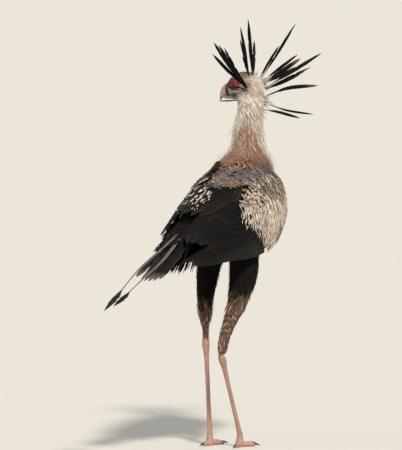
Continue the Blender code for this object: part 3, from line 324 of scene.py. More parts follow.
def oval(centre, across, up, sides, power=2.0):
    """Points of a rounded section around centre, with the two half axes as vectors."""
    points = []
    for k in range(sides):
        angle = 2 * math.pi * k / sides
        c = math.cos(angle)
        s = math.sin(angle)
        c = math.copysign(abs(c) ** (2 / power), c)
        s = math.copysign(abs(s) ** (2 / power), s)
        points.append(centre + across * c + up * s)
    return points


def apply_modifiers(obj):
    """Bake the modifiers of obj into its mesh."""
    depsgraph = bpy.context.evaluated_depsgraph_get()
    mesh = bpy.data.meshes.new_from_object(obj.evaluated_get(depsgraph))
    obj.modifiers.clear()
    old = obj.data
    obj.data = mesh
    bpy.data.meshes.remove(old)


def boolean(target, bodies, operation):
    """Join the bodies onto the target, or cut them out of it, and remove them."""
    group = bpy.data.collections.new("tools")
    for body in bodies:
        group.objects.link(body)
    modifier = target.modifiers.new("boolean", "BOOLEAN")
    modifier.operation = operation
    modifier.operand_type = "COLLECTION"
    modifier.collection = group
    modifier.solver = "MANIFOLD"
    apply_modifiers(target)
    for body in bodies:
        bpy.data.objects.remove(body, do_unlink=True)
    bpy.data.collections.remove(group)


def head_matrix():
    """From the head frame to bird coordinates."""
    turn = Matrix.Rotation(HEAD_YAW, 4, "Z") @ Matrix.Rotation(HEAD_PITCH, 4, "Y")
    return Matrix.Translation(HEAD_AT) @ turn


HEAD = head_matrix()
HEAD_BACK = np.array(HEAD.inverted())


def in_head(points):
    """Head frame coordinates of an array of points."""
    return points @ HEAD_BACK[:3, :3].T + HEAD_BACK[:3, 3]


def wing_point(s, t, side):
    """A point of the wing's outer surface, s from front to tip, t from low edge to top edge."""
    column = [spline(row, t) for row in WING]
    x, y, z = spline(column, s)
    dx, dy, dz = WING_TIP_SHIFT[side]
    late = max(s, 0.0) ** 4
    return Vector((x + dx * late, side * (y + dy * late), z + dz * late))


def wing_normal(s, t, side):
    """The outward direction of the wing's surface."""
    step = 0.02
    along = wing_point(min(s + step, 1), t, side) - wing_point(max(s - step, 0), t, side)
    up = wing_point(s, min(t + step, 1), side) - wing_point(s, max(t - step, 0), side)
    normal = along.cross(up).normalized()
    return normal if normal.dot(Vector((0, side, 0.5))) > 0 else -normal


def view_point(right, ahead, z):
    """Bird coordinates of a point given along the photo's view."""
    return VIEW_RIGHT * right + VIEW_AHEAD * ahead + Vector((0, 0, z))


def tail_point(back, left, up):
    """Bird coordinates of a point in the tail's frame."""
    c = math.cos(TAIL_DROP)
    s = math.sin(TAIL_DROP)
    return TAIL_AT + Vector((-back * c - up * s, left, -back * s + up * c))


# The skin.
CORE_IN = 0.007
CORE_VOXEL = 0.0034
WING_CORE_END = 0.60


def core_bodies():
    """The fleshy forms under the coat, drawn in by its depth."""
    bodies = []
    rings = []
    for r in range(20):
        x, z, half_height, half_width = spline(TORSO, r / 19)
        shrink = min(CORE_IN, half_height * 0.4)
        across = Vector((0, half_width - shrink, 0))
        rings.append(oval(Vector((x, 0, z)), across, Vector((0, 0, half_height - shrink)), 36, 2.4))
    bodies.append(loft("torso_core", rings))
    rings = []
    for k in range(16):
        z, x, half_depth, half_width = spline(NECK, k / 15)
        along = Vector((half_depth - CORE_IN, 0, 0))
        rings.append(oval(Vector((x, 0, z)), along, Vector((0, half_width - CORE_IN, 0)), 28))
    bodies.append(loft("neck_core", rings))
    rings = []
    for k in range(9):
        z, x, y, half_depth, half_width = spline(THROAT, k / 8)
        along = Vector((half_depth - 0.005, 0, 0))
        rings.append(oval(Vector((x, y, z)), along, Vector((0, half_width - 0.005, 0)), 28))
    bodies.append(loft("throat_core", rings))
    for side in (1, -1):
        rings = []
        rows = THIGHS[side]
        for k in range(20):
            x, y, z, half_depth, half_width = spline(rows, k / 19)
            shrink = 0.006 if z > 0.44 else 0.0035
            along = Vector((half_depth - shrink, 0, 0))
            rings.append(oval(Vector((x, y, z)), along, Vector((0, half_width - shrink, 0)), 24))
        bodies.append(loft("thigh_core", rings))
        bodies.append(wing_core(side))
    rings = []
    for k in range(10):
        back, left, half_width, half_thick = spline(TAIL, k / 9)
        across = Vector((0, half_width - 0.004, 0))
        up = TAIL_UP * max(half_thick - 0.002, 0.003)
        rings.append(oval(tail_point(back, left, 0), across, up, 20))
    bodies.append(loft("tail_core", rings))
    return bodies


def wing_core(side):
    """The arm under the wing's coverts, from its outer surface in to the trunk."""
    rows = 16
    columns = 14
    outer = []
    inner = []
    for i in range(rows):
        s = WING_CORE_END * i / (rows - 1)
        for j in range(columns):
            t = 0.03 + 0.95 * j / (columns - 1)
            point = wing_point(s, t, side)
            axis = Vector((point.x - 0.01, side * 0.022, WING_AXIS_Z + 0.12 * min(point.x, 0.0)))
            inward = (axis - point).normalized()
            outer.append(point + inward * 0.006)
            back = 1.0 - 0.8 * float(smooth(s, 0.35, WING_CORE_END))
            inner.append(point + inward * (0.012 + 0.038 * math.sin(math.pi * t) ** 0.6 * back))
    return mesh_object("wing_core", outer + inner, slab_faces(rows, columns))


def melt(bodies, voxel, passes):
    """One smooth closed surface round the bodies, which are removed."""
    verts = []
    faces = []
    for body in bodies:
        base = len(verts)
        verts += [v.co.copy() for v in body.data.vertices]
        faces += [tuple(base + k for k in f.vertices) for f in body.data.polygons]
        bpy.data.objects.remove(body, do_unlink=True)
    mesh = bpy.data.meshes.new("core")
    mesh.from_pydata([tuple(v) for v in verts], [], faces)
    obj = bpy.data.objects.new("core", mesh)
    bpy.context.scene.collection.objects.link(obj)
    remesh = obj.modifiers.new("remesh", "REMESH")
    remesh.mode = "VOXEL"
    remesh.voxel_size = voxel
    soften = obj.modifiers.new("smooth", "SMOOTH")
    soften.factor = 0.5
    soften.iterations = passes
    apply_modifiers(obj)
    return obj


HEAD_RINGS = 90
HEAD_SIDES = 96


def segment_distance(points, a, b):
    """Distance of each point of an array to the segment a to b."""
    a = np.array(a)
    b = np.array(b)
    run = b - a
    u = np.clip(((points - a) @ run) / (run @ run), 0, 1)
    return np.linalg.norm(points - (a + u[:, None] * run), axis=1)


def skull_skin():
    """The skull's skin with its brow ridges, the hollows round the eyes and the gape."""
    rings = []
    for r in range(HEAD_RINGS):
        u = r / (HEAD_RINGS - 1)
        x, z, half_height, half_width = spline(SKULL, u)
        across = Vector((0, half_width, 0))
        rings.append(oval(Vector((x, 0, z)), across, Vector((0, 0, half_height)), HEAD_SIDES))
    points = np.array([[tuple(p) for p in ring] for ring in rings]).reshape(-1, 3)
    centre = np.zeros_like(points)
    centre[:, 0] = points[:, 0]
    centre[:, 2] = -0.003
    outward = points - centre
    outward /= np.maximum(np.linalg.norm(outward, axis=1), 1e-6)[:, None]
    moved = points.copy()
    face = smooth(points[:, 0], -0.006, 0.008)
    moved -= outward * (0.0022 * (1 - face))[:, None]
    for side in (1, -1):
        near = np.full(len(points), 9.0)
        for a, b in zip(BROW[:-1], BROW[1:]):
            start = (a[0], side * a[1], a[2])
            end = (b[0], side * b[1], b[2])
            near = np.minimum(near, segment_distance(points, start, end))
        moved += outward * (0.0030 * np.exp(-(near / 0.0046) ** 2))[:, None]
        eye = np.array((EYE_AT[0], side * (EYE_AT[1] + 0.006), EYE_AT[2]))
        gap = np.linalg.norm(points - eye, axis=1)
        moved -= outward * (0.0024 * np.exp(-(gap / 0.0095) ** 2))[:, None]
        near = segment_distance(points, (0.052, side * 0.010, -0.0215), (0.016, side * 0.029, -0.019))
        moved -= outward * (0.0012 * np.exp(-(near / 0.0016) ** 2))[:, None]
        moved += outward * (0.0009 * np.exp(-((near - 0.0038) / 0.0018) ** 2))[:, None]
    matrix = np.array(HEAD)
    moved = moved @ matrix[:3, :3].T + matrix[:3, 3]
    rings = moved.reshape(HEAD_RINGS, HEAD_SIDES, 3)
    return loft("skull_skin", [[Vector(p) for p in ring] for ring in rings])


def eye_frame(side):
    """Centre of one eye and its outward, forward and upward directions."""
    centre = HEAD @ Vector((EYE_AT[0], side * EYE_AT[1], EYE_AT[2]))
    turn = HEAD.to_3x3()
    outward = (turn @ Vector((0.14, side, 0.03))).normalized()
    ahead = turn @ Vector((1, 0, -0.08))
    ahead = (ahead - outward * ahead.dot(outward)).normalized()
    up = outward.cross(ahead) * side
    if up.z < 0:
        up = -up
    return centre, outward, ahead, up


LID_UPPER = 0.34
LID_LOWER = -0.52


def lid_shell(side, upper):
    """One eyelid as a thin bowl over the eyeball, with a thicker rim."""
    centre, outward, ahead, up = eye_frame(side)
    rows = 9
    columns = 30
    outer = []
    inner = []
    for i in range(rows):
        w = i / (rows - 1)
        edge = LID_UPPER if upper else LID_LOWER
        for j in range(columns):
            a = math.radians(-96 + 192 * j / (columns - 1))
            corner = abs(math.sin(a)) ** 3
            low = edge * (1 - corner)
            high = 0.96 if upper else -0.96
            height = low + (high - low) * w
            reach = math.sqrt(max(1 - height * height, 0.0))
            spoke = outward * (reach * math.cos(a)) + ahead * (reach * math.sin(a)) + up * height
            thick = 0.0011 + 0.0008 * (1 - w) ** 3
            outer.append(centre + spoke * (EYE_RADIUS + thick))
            inner.append(centre + spoke * (EYE_RADIUS + 0.00015))
    return mesh_object("lid", outer + inner, slab_faces(rows, columns))


TARSUS_ROWS = 190
TARSUS_SIDES = 40
TARSUS_SCUTES = 27
TOE_ROWS = 44
TOE_SIDES = 22
TOE_START = 0.004
TOE_FLATNESS = 0.92
TOE_SWELL = 0.055
# Where a toe's end starts to round off, over what share of its length, and the least share it keeps.
TOE_ROUND = (0.86, 0.145, 0.10)
SCUTE_RISE = 0.0009
REAR_SCUTE_RISE = 0.00045
TOE_SCUTE_RISE = 0.0007
TOE_SCUTE_LENGTH = 0.0052


def scute(phase):
    """Height of a plate along its own length: it rises to its lower edge and drops away."""
    part = phase - math.floor(phase)
    return (part ** 0.6) * (1 - float(smooth(part, 0.86, 1.0)))


def tarsus_skin(side):
    """The bare shank with broad plates in front and small scales behind."""
    hock = HOCKS[side]
    ankle = ANKLES[side]
    stations = np.linspace(-0.060, 1.06, TARSUS_ROWS)
    table = np.array(TARSUS)
    depth = np.interp(stations, table[:, 0], table[:, 1])
    width = np.interp(stations, table[:, 0], table[:, 2])
    cap = np.sqrt(np.clip((stations + 0.062) / 0.055, 0.0, 1.0))
    kernel = np.ones(9) / 9
    depth = np.convolve(np.pad(depth, 4, mode="edge"), kernel, mode="valid")
    width = np.convolve(np.pad(width, 4, mode="edge"), kernel, mode="valid")
    depth = depth * cap
    width = width * cap
    rings = []
    for k, t in enumerate(stations):
        centre = hock.lerp(ankle, t)
        ring = []
        for j in range(TARSUS_SIDES):
            angle = 2 * math.pi * j / TARSUS_SIDES
            c = math.cos(angle)
            s = math.sin(angle)
            front = float(smooth(c, 0.35, 0.62)) * float(smooth(t, 0.06, 0.12))
            height = SCUTE_RISE * front * scute(t * TARSUS_SCUTES)
            behind = float(smooth(-c, 0.30, 0.62))
            height += REAR_SCUTE_RISE * behind * scute(t * TARSUS_SCUTES * 1.7 + 0.4)
            groove = 0.0007 * (abs(s) ** 6) * float(smooth(t, 0.12, 0.2))
            ring.append(centre + Vector(((depth[k] + height) * c, (width[k] + height - groove) * s, 0)))
        rings.append(ring)
    return loft("tarsus_skin", rings)


def toe_frame(side, index):
    """Root, heading and sideways direction of one toe."""
    angle = FOOT_TURN[side] + side * math.radians(TOES[index][0])
    along = Vector((math.cos(angle), math.sin(angle), 0))
    across = Vector((-math.sin(angle), math.cos(angle), 0))
    return Vector((ANKLES[side].x, ANKLES[side].y, TOE_LEVEL)), along, across


def toe_skin(side, index):
    """One toe: plates above, pads below."""
    _, length, root_radius, tip_radius = TOES[index]
    root, along, across = toe_frame(side, index)
    round_from, round_span, least = TOE_ROUND
    rings = []
    for k in range(TOE_ROWS):
        t = k / (TOE_ROWS - 1)
        radius = root_radius + (tip_radius - root_radius) * t
        radius *= 1.0 + TOE_SWELL * math.cos(6 * math.pi * t)
        if t > round_from:
            radius *= math.sqrt(max(1 - ((t - round_from) / round_span) ** 2, least))
        centre = root + along * (TOE_START + (length - TOE_START) * t)
        centre.z = radius * TOE_FLATNESS - 0.0006
        ring = []
        for j in range(TOE_SIDES):
            angle = 2 * math.pi * j / TOE_SIDES
            top = float(smooth(math.sin(angle), 0.15, 0.55))
            height = TOE_SCUTE_RISE * top * scute(t * length / TOE_SCUTE_LENGTH)
            height *= float(smooth(t, 0.1, 0.25))
            c = math.cos(angle) * (radius + height * 0.4)
            s = math.sin(angle) * (radius * TOE_FLATNESS + height)
            point = centre + across * c + Vector((0, 0, s))
            point.z = max(point.z, 0.0)
            ring.append(point)
        rings.append(ring)
    return loft("toe_skin", rings)


def ankle_skin(side):
    """The ball of the foot, flat on the floor."""
    ankle = ANKLES[side]
    rows = ((0.044, 0.0082, 0.0080), (0.030, 0.0088, 0.0090), (0.020, 0.0105, 0.0112),
            (0.012, 0.0130, 0.0135), (0.005, 0.0135, 0.0140), (0.0, 0.0122, 0.0127))
    rings = []
    for k in range(26):
        z, depth, width = spline(rows, k / 25)
        wave = 0.0004 * scute(z / 0.0046)
        centre = Vector((ankle.x, ankle.y, max(z, 0.0)))
        rings.append(oval(centre, Vector((depth + wave, 0, 0)), Vector((0, width + wave, 0)), 36))
    return loft("ankle_skin", rings)


def skin_body():
    """The whole skin as one closed surface."""
    skin = melt(core_bodies(), CORE_VOXEL, 8)
    bodies = [skull_skin()]
    for side in (1, -1):
        bodies += [lid_shell(side, True), lid_shell(side, False)]
        bodies += [tarsus_skin(side), ankle_skin(side)]
        bodies += [toe_skin(side, k) for k in range(len(TOES))]
    boolean(skin, bodies, "UNION")
    return skin


# Reading the skin.
def rows_of(source, name, count, width, kind=np.float32):
    """A property of a mesh's elements as an array of rows."""
    values = np.empty(count * width, kind)
    source.foreach_get(name, values)
    return values.reshape(-1, width)


class Surface:
    """The skin as arrays: points, normals, bake places and a search tree."""

    def __init__(self, obj):
        mesh = obj.data
        count = len(mesh.vertices)
        self.points = rows_of(mesh.vertices, "co", count, 3).astype(float)
        self.normals = rows_of(mesh.vertices, "normal", count, 3).astype(float)
        mesh.calc_loop_triangles()
        number = len(mesh.loop_triangles)
        self.triangles = rows_of(mesh.loop_triangles, "vertices", number, 3, np.int32)
        self.loops = rows_of(mesh.loop_triangles, "loops", number, 3, np.int32)
        a, b, c = (self.points[self.triangles[:, k]] for k in range(3))
        self.areas = 0.5 * np.linalg.norm(np.cross(b - a, c - a), axis=1)
        self.uv = rows_of(mesh.uv_layers["OFBake"].data, "uv", len(mesh.loops), 2)
        faces = [tuple(int(i) for i in t) for t in self.triangles]
        self.tree = BVHTree.FromPolygons([tuple(p) for p in self.points], faces)

    def scatter(self, number, rng):
        """Random points on the surface with their normals and bake places."""
        total = np.cumsum(self.areas)
        pick = np.searchsorted(total, rng.random(number) * total[-1])
        pick = np.minimum(pick, len(total) - 1)
        r1 = np.sqrt(rng.random(number))
        r2 = rng.random(number)
        weights = np.stack([1 - r1, r1 * (1 - r2), r1 * r2], axis=1)
        where = np.einsum("nk,nkd->nd", weights, self.points[self.triangles[pick]])
        facing = np.einsum("nk,nkd->nd", weights, self.normals[self.triangles[pick]])
        facing /= np.maximum(np.linalg.norm(facing, axis=1), 1e-9)[:, None]
        place = np.einsum("nk,nkd->nd", weights, self.uv[self.loops[pick]])
        return where, facing, place

    def snap(self, points, reach):
        """Nearest surface points and normals; beyond reach the point itself stays."""
        out = points.copy()
        facing = np.zeros_like(points)
        hit = np.zeros(len(points), bool)
        for k, p in enumerate(points):
            found, normal, _, _ = self.tree.find_nearest(Vector(p), reach)
            if found is not None:
                out[k] = found
                facing[k] = normal
                hit[k] = True
        return out, facing, hit

    def place(self, point):
        """The bake place of the surface nearest to a point."""
        _, _, index, _ = self.tree.find_nearest(Vector(point))
        return self.uv[self.loops[index]].mean(axis=0)


def unwrap(obj):
    """Lay the skin out flat in its OFBake map."""
    obj.data.uv_layers.new(name="OFBake")
    view = bpy.context.view_layer
    for other in view.objects:
        other.select_set(False)
    obj.select_set(True)
    view.objects.active = obj
    bpy.ops.object.mode_set(mode="EDIT")
    bpy.ops.mesh.select_all(action="SELECT")
    bpy.ops.uv.smart_project(angle_limit=math.radians(70), island_margin=0.001)
    bpy.ops.object.mode_set(mode="OBJECT")


# Where things are on the bird.
STEPS_S = 60
STEPS_T = 32


def wing_tree(side):
    """A search tree of the wing's surface and the (s, t) of each of its points."""
    places = []
    tree = KDTree((STEPS_S + 1) * (STEPS_T + 1))
    for i in range(STEPS_S + 1):
        for j in range(STEPS_T + 1):
            s = i / STEPS_S
            t = j / STEPS_T
            tree.insert(wing_point(s, t, side), len(places))
            places.append((s, t))
    tree.balance()
    return tree, places


def wing_places(points):
    """The wing coordinates nearest to each point and the distance to them."""
    out = np.zeros((len(points), 3))
    for k, p in enumerate(points):
        side = 1 if p[1] > 0 else -1
        tree, places = WING_TREES[side]
        _, index, distance = tree.find(Vector(p))
        out[k] = (*places[index], distance)
    return out


WING_TREES = {side: wing_tree(side) for side in (1, -1)}


def wing_shell(side):
    """The wing's outer surface as a tree for finding its nearest point."""
    rows = 57
    columns = 29
    points = []
    faces = []
    for i in range(rows):
        for j in range(columns):
            points.append(wing_point(i / (rows - 1), j / (columns - 1), side))
    for i in range(rows - 1):
        for j in range(columns - 1):
            a = i * columns + j
            faces.append((a, a + 1, a + 1 + columns, a + columns))
    return BVHTree.FromPolygons(points, faces)


WING_SHELLS = {side: wing_shell(side) for side in (1, -1)}


def on_shell(points):
    """Nearest points of the wings' outer surfaces and the outward directions there."""
    out = points.copy()
    facing = np.zeros_like(points)
    for k, p in enumerate(points):
        side = 1 if p[1] > 0 else -1
        found, normal, _, _ = WING_SHELLS[side].find_nearest(Vector(p))
        if normal.dot(Vector((0, side, 0.5))) < 0:
            normal = -normal
        out[k] = found
        facing[k] = normal
    return out, facing


REGIONS = range(8)
(HEAD_FEATHERS, NECK_FEATHERS, BODY_FEATHERS, MANTLE, WING_COVERTS, THIGH_FEATHERS, SHANK_FEATHERS,
 BARE) = REGIONS
SHANK_TOP = {1: 0.415, -1: 0.440}
# Heights above the hock where the shank's feathers end and where the leg's bare colour starts.
FEATHERS_END = 0.013
LEG_COLOUR_TOP = 0.028
FACE_LEVEL = 1.034


def mantle_end(y):
    """How far back the grey feathers of the back reach."""
    return np.interp(np.abs(y), (0, 0.026, 0.040, 0.065, 0.090, 0.115),
                     (-0.160, -0.140, -0.125, -0.090, -0.040, 0.030))


def border(t):
    """How far back the pale coverts of a wing reach, by height on the wing."""
    return np.interp(t, (0.0, 0.25, 0.45, 0.62, 0.72, 0.79), (0.37, 0.47, 0.58, 0.57, 0.49, 0.43))


def regions(points, wings):
    """Which part of the coat each point belongs to."""
    x, y, z = points.T
    s, t, off = wings.T
    out = np.full(len(points), BODY_FEATHERS)
    head = in_head(points)
    neck = (z > 0.868) & (np.abs(x - 0.118) < 0.10)
    on_wing = (off < 0.017) & (z < 0.86)
    mantle = (z > 0.780) & (x > mantle_end(y)) & (x < 0.11) & ((t > 0.76) | (off > 0.02))
    out[on_wing & (s < border(t) + 0.01)] = WING_COVERTS
    out[on_wing & (s >= border(t) + 0.01)] = BARE
    out[mantle] = MANTLE
    out[neck] = NECK_FEATHERS
    out[z > FACE_LEVEL] = HEAD_FEATHERS
    side = np.where(y > 0, 1, -1)
    thigh = (z < 0.625) & (np.abs(np.abs(y) - 0.055) < 0.052) & (x > -0.16) & ~on_wing
    out[thigh] = THIGH_FEATHERS
    top = np.where(side > 0, SHANK_TOP[1], SHANK_TOP[-1])
    out[z < top] = SHANK_FEATHERS
    floor = np.where(side > 0, HOCKS[1].z, HOCKS[-1].z) + FEATHERS_END
    out[z < floor] = BARE
    out[(bareness(head) > 0) & (z > FACE_LEVEL)] = BARE
    return out


def bareness(head):
    """Above zero on the naked skin round the eye, at the bill and along the gape."""
    x, y, z = head.T
    wave = 0.0012 * np.sin(x * 900) + 0.0010 * np.sin(z * 1100 + 1.0)
    ring = 1 - ((x - 0.018 + wave) / 0.0225) ** 2 - ((z - 0.0085 + wave) / 0.0165) ** 2
    beak = (x - 0.0385 - 0.08 * np.maximum(z, 0.0) + wave) / 0.01
    gape = 1 - np.abs(z + 0.0205) / 0.0034
    gape = np.where(x > 0.012, gape, -1.0)
    side = np.abs(y) > 0.006
    return np.maximum(np.where(side, ring, -1.0), np.maximum(np.where(z > -0.027, beak, -1.0), gape))


def mix(a, b, w):
    """Blend of two colours or colour arrays by an array of weights."""
    w = np.asarray(w)[..., None]
    return a * (1 - w) + b * w


# Patches the photo shows: centre, radius, middle and rim colours, how much of them is speckled.
MARKS = (
    ((-0.127, -0.012, 0.828), 0.020, srgb(158, 152, 148), srgb(182, 170, 158), 0.2),
    # This black patch is painted shadow in the gap under the pale scapulars.
    ((-0.150, -0.026, 0.796), 0.013, BLACK, BLACK, 0.0),
    ((0.022, -0.098, 0.822), 0.021, srgb(88, 90, 100), srgb(128, 122, 118), 0.0),
    ((-0.033, -0.067, 0.827), 0.017, srgb(84, 88, 100), srgb(150, 136, 120), 0.0),
    ((0.024, -0.125, 0.768), 0.030, srgb(128, 112, 100), srgb(176, 152, 128), 0.4),
    ((-0.046, -0.115, 0.760), 0.018, srgb(216, 188, 160), srgb(176, 124, 92), 0.3),
    ((0.094, -0.128, 0.634), 0.033, srgb(96, 98, 106), srgb(150, 144, 142), 0.2),
    ((0.094, 0.128, 0.634), 0.033, srgb(96, 98, 106), srgb(150, 144, 142), 0.2),
)


def markings(points, wings, rng):
    """Colours of the middle and the rim of the coat at each point, and the shaft's tone."""
    count = len(points)
    x, y, z = points.T
    s, t, off = wings.T
    head = in_head(points)
    hx, _, hz = head.T
    noise = rng.random(count)
    core = np.tile(BLACK, (count, 1)) * (0.8 + 0.5 * noise[:, None])
    rim = np.tile(BROWN_BLACK * 0.8, (count, 1))
    shaft = np.full(count, 1.6)

    # Grey mantle with tan fringes.
    mantle = smooth(z, 0.770, 0.785) * smooth(x - mantle_end(y), -0.014, 0.0)
    mantle = mantle * smooth(0.125 - x + 0.25 * np.maximum(np.abs(y) - 0.05, 0.0), 0.0, 0.03)
    grey = mix(BLUE_GREY, DARK_GREY, smooth(noise, 0.1, 0.9))
    grey = mix(grey, srgb(128, 112, 100), smooth(np.sin(x * 57 + y * 31 + 2.0), 0.2, 1.0) * 0.5)
    fringe = mix(TAN, WARM_GREY, smooth(np.sin(x * 71 + y * 43) + noise, 0.2, 1.3))
    core = mix(core, grey, mantle)
    rim = mix(rim, fringe, mantle)
    shaft = np.where(mantle > 0.5, 0.72, shaft)

    # Pale shoulder beside the root of the neck.
    shoulder = smooth(x, 0.075, 0.105) * smooth(z, 0.66, 0.70) * (1 - mantle)
    core = mix(core, mix(WARM_GREY, CREAM, noise), shoulder)
    rim = mix(rim, CREAM, shoulder)

    # Cream and grey coverts of the wing.
    pale = (off < 0.03) * (t < 0.80) * smooth(border(t) - s, -0.05, -0.02)
    low = smooth(0.60 - t + 0.10 * np.sin(s * 17), -0.07, 0.07)
    tone = mix(CREAM, WHITE, smooth(noise, 0.25, 0.7))
    second = rng.random(count)
    tone = mix(tone, WARM_GREY * 0.85, smooth(second, 0.60, 0.68) * 0.85)
    tone = mix(tone, TAN, smooth(0.10 - second, -0.02, 0.02) * 0.7)
    upper = mix(srgb(150, 132, 116), srgb(92, 84, 80), smooth(noise, 0.3, 0.9))
    upper = mix(upper, CREAM, smooth(second, 0.80, 0.86) * 0.7)
    covert = mix(upper, tone, low)
    covert_rim = mix(covert * 1.1, CREAM, 0.4)
    core = mix(core, covert, pale)
    rim = mix(rim, covert_rim, pale)
    shaft = np.where(pale > 0.5, 0.70, shaft)
    # Painted shade: the front edge of the coverts is darkened to a dim blue-grey.
    front = pale * smooth(0.15 - s, 0.0, 0.09) * 0.55
    core = mix(core, mix(BLUE_GREY, WARM_GREY, noise) * 0.8, front)

    # Breast, pale grey down to the belly.
    breast = smooth(x, 0.02, 0.06) * smooth(z, 0.625, 0.66) * (off > 0.008) * (1 - mantle) * (1 - pale)
    core = mix(core, mix(WHITE, WARM_GREY, 0.3 + 0.3 * noise), breast)
    rim = mix(rim, WHITE, breast)
    shaft = np.where(breast > 0.5, 0.85, shaft)

    # Neck: cream, with grey streaks painted as shade between its feathers, rufous behind at its root.
    neck = smooth(z, 0.862, 0.882) * (np.abs(x - 0.118) < 0.11)
    # The grey and dark grey streaks are painted shade between the neck feathers; the cream and white are
    # the neck's own colour.
    pale_and_shade_streaks = mix(mix(CREAM, WHITE, 0.45 + 0.55 * noise), WARM_GREY * 0.8, smooth(second, 0.68, 0.80) * 0.9)
    pale_and_shade_streaks = mix(pale_and_shade_streaks, DARK_GREY, smooth(second, 0.955, 0.965) * 0.8)
    core = mix(core, pale_and_shade_streaks, neck)
    rim = mix(rim, WHITE, neck)
    shaft = np.where(neck > 0.5, 0.80, shaft)
    bearing = np.degrees(np.arctan2(y, x - 0.118))
    turn = np.abs((bearing - 205 + 180) % 360 - 180)
    wide = np.interp(z, (0.84, 0.87, 0.93, 0.975), (75, 60, 38, 10))
    patch = smooth(wide - turn, -12, 12) * smooth(z, 0.835, 0.858) * smooth(0.990 - z, 0.0, 0.04)
    patch = patch * (x < 0.15) * (0.35 + 0.65 * smooth(second, 0.15, 0.40))
    red = mix(RUFOUS, srgb(124, 84, 64), smooth(noise, 0.4, 0.9))
    red = mix(red, CREAM, smooth(second, 0.86, 0.92) * 0.7)
    core = mix(core, red, patch)
    rim = mix(rim, mix(RUFOUS, CREAM, 0.2 + 0.4 * noise), patch)

    # Head: grey crown, cream cheeks and throat, tan behind the eye, dark lines round the face.
    on_head = smooth(z, 1.030, 1.036)
    crown = smooth(hz + 0.25 * hx, 0.014, 0.026)
    cheek = mix(CREAM, WHITE, 0.4 + 0.6 * noise)
    cheek = mix(cheek, TAN, smooth(0.5 - noise, 0.0, 0.3) * 0.25)
    cheek = mix(cheek, WARM_GREY, smooth(second, 0.80, 0.88) * 0.6)
    grey = mix(mix(CROWN_GREY, WARM_GREY, noise), srgb(74, 76, 90), smooth(hz, 0.032, 0.044) * 0.7)
    tone = mix(cheek, mix(grey, TAN, smooth(second, 0.75, 0.85) * 0.6), crown)
    behind = np.exp(-(((hx + 0.033) / 0.015) ** 2 + ((hz - 0.004) / 0.017) ** 2))
    tone = mix(tone, mix(TAN, srgb(120, 84, 60), noise), np.clip(behind * 1.1, 0, 0.85))
    bare = bareness(head)
    rim_line = smooth(bare, -0.75, -0.15) * smooth(hx, -0.012, 0.004)
    above = smooth(hz, 0.004, 0.014)
    tone = mix(tone, FACE_BLACK, rim_line * above)
    profile = head * (1, 0, 1)
    near = segment_distance(profile, (0.014, 0.0, -0.006), (-0.028, 0.0, -0.011))
    tone = mix(tone, BLACK, np.exp(-(near / 0.0020) ** 2))
    near = segment_distance(profile, (0.014, 0.0, -0.020), (-0.018, 0.0, -0.014))
    tone = mix(tone, FACE_BLACK, 0.7 * np.exp(-(near / 0.0018) ** 2))
    gape = np.exp(-(((hx - 0.018) / 0.012) ** 2 + ((hz + 0.024) / 0.009) ** 2))
    tone = mix(tone, srgb(84, 74, 70), np.clip(gape * 1.2, 0, 0.9))
    pale_line = segment_distance(profile, (0.000, 0.0, 0.000), (-0.024, 0.0, -0.004))
    tone = mix(tone, srgb(240, 224, 212), 0.9 * np.exp(-(pale_line / 0.0026) ** 2))
    core = mix(core, tone, on_head)
    rim = mix(rim, mix(tone, WHITE, 0.25), on_head)
    shaft = np.where(on_head > 0.5, 0.9, shaft)

    # Trousers black, the shank below them mottled brown.
    top = np.where(y > 0, SHANK_TOP[1], SHANK_TOP[-1])
    shank = smooth(top - z + 0.06 * (noise - 0.5), -0.012, 0.012)
    fleck = SHANK_BROWN * (0.35 + 0.8 * noise[:, None])
    fleck = mix(fleck, SHANK_PALE, smooth(second, 0.80, 0.86))
    core = mix(core, fleck, shank)
    rim = mix(rim, mix(SHANK_BROWN, SHANK_PALE, 0.3), shank)

    for centre, radius, middle, edge, speckled in MARKS:
        near = np.linalg.norm(points - np.array(centre), axis=1)
        weight = np.exp(-(near / radius) ** 4) * (second > speckled)
        core = mix(core, middle * (0.8 + 0.4 * noise[:, None]), weight)
        rim = mix(rim, edge, weight)
    return np.clip(core, 0, 1), np.clip(rim, 0, 1), shaft


# Brighter places of the bare face in the head frame, left lighter than its painted shade: x, z, size,
# colour.
FACE_SPOTS = (
    (0.032, 0.026, 0.009, FACE_RED * 0.55),
    (0.004, 0.006, 0.009, FACE_RED * 0.50),
    (0.012, 0.017, 0.0055, srgb(240, 104, 104)),
)


def skin_colours(points, wings):
    """Colours of the skin itself: the coat's, darkened as painted shade under the feathers, and those of
    the bare parts.
    """
    rng = np.random.default_rng(5)
    # The coat's colours times 0.75 are painted shade on the skin under the feathers.
    colour = markings(points, wings, rng)[0] * 0.75
    head = in_head(points)
    hx, _, hz = head.T
    bare = smooth(bareness(head), -0.1, 0.05) * (points[:, 2] > FACE_LEVEL)
    # The bare face's red is darkened to maroon as painted shade from the crest, and darker still towards
    # its lower edge.
    red = mix(np.tile(mix(FACE_SHADE_MAROON, FACE_RED, 0.22) * 0.6, (len(points), 1)), FACE_BLACK * 0.7,
              smooth(-hz, -0.010, 0.002) * 0.85)
    for spot_x, spot_z, size, tone in FACE_SPOTS:
        spot = np.exp(-(((hx - spot_x) / size) ** 2 + ((hz - spot_z) / size) ** 2))
        red = mix(red, tone, np.clip(spot * 1.1, 0, 0.95))
    colour = mix(colour, red, bare)
    for side in (1, -1):
        near = segment_distance(head, (0.054, side * 0.009, -0.0215), (0.014, side * 0.029, -0.019))
        colour = mix(colour, srgb(30, 20, 20), np.exp(-(near / 0.0018) ** 2))
    low = np.where(points[:, 1] > 0, HOCKS[1].z, HOCKS[-1].z) + LEG_COLOUR_TOP
    leg = smooth(low - points[:, 2], 0.0, 0.02)
    colour = mix(colour, LEG_PINK, leg)
    return colour, leg


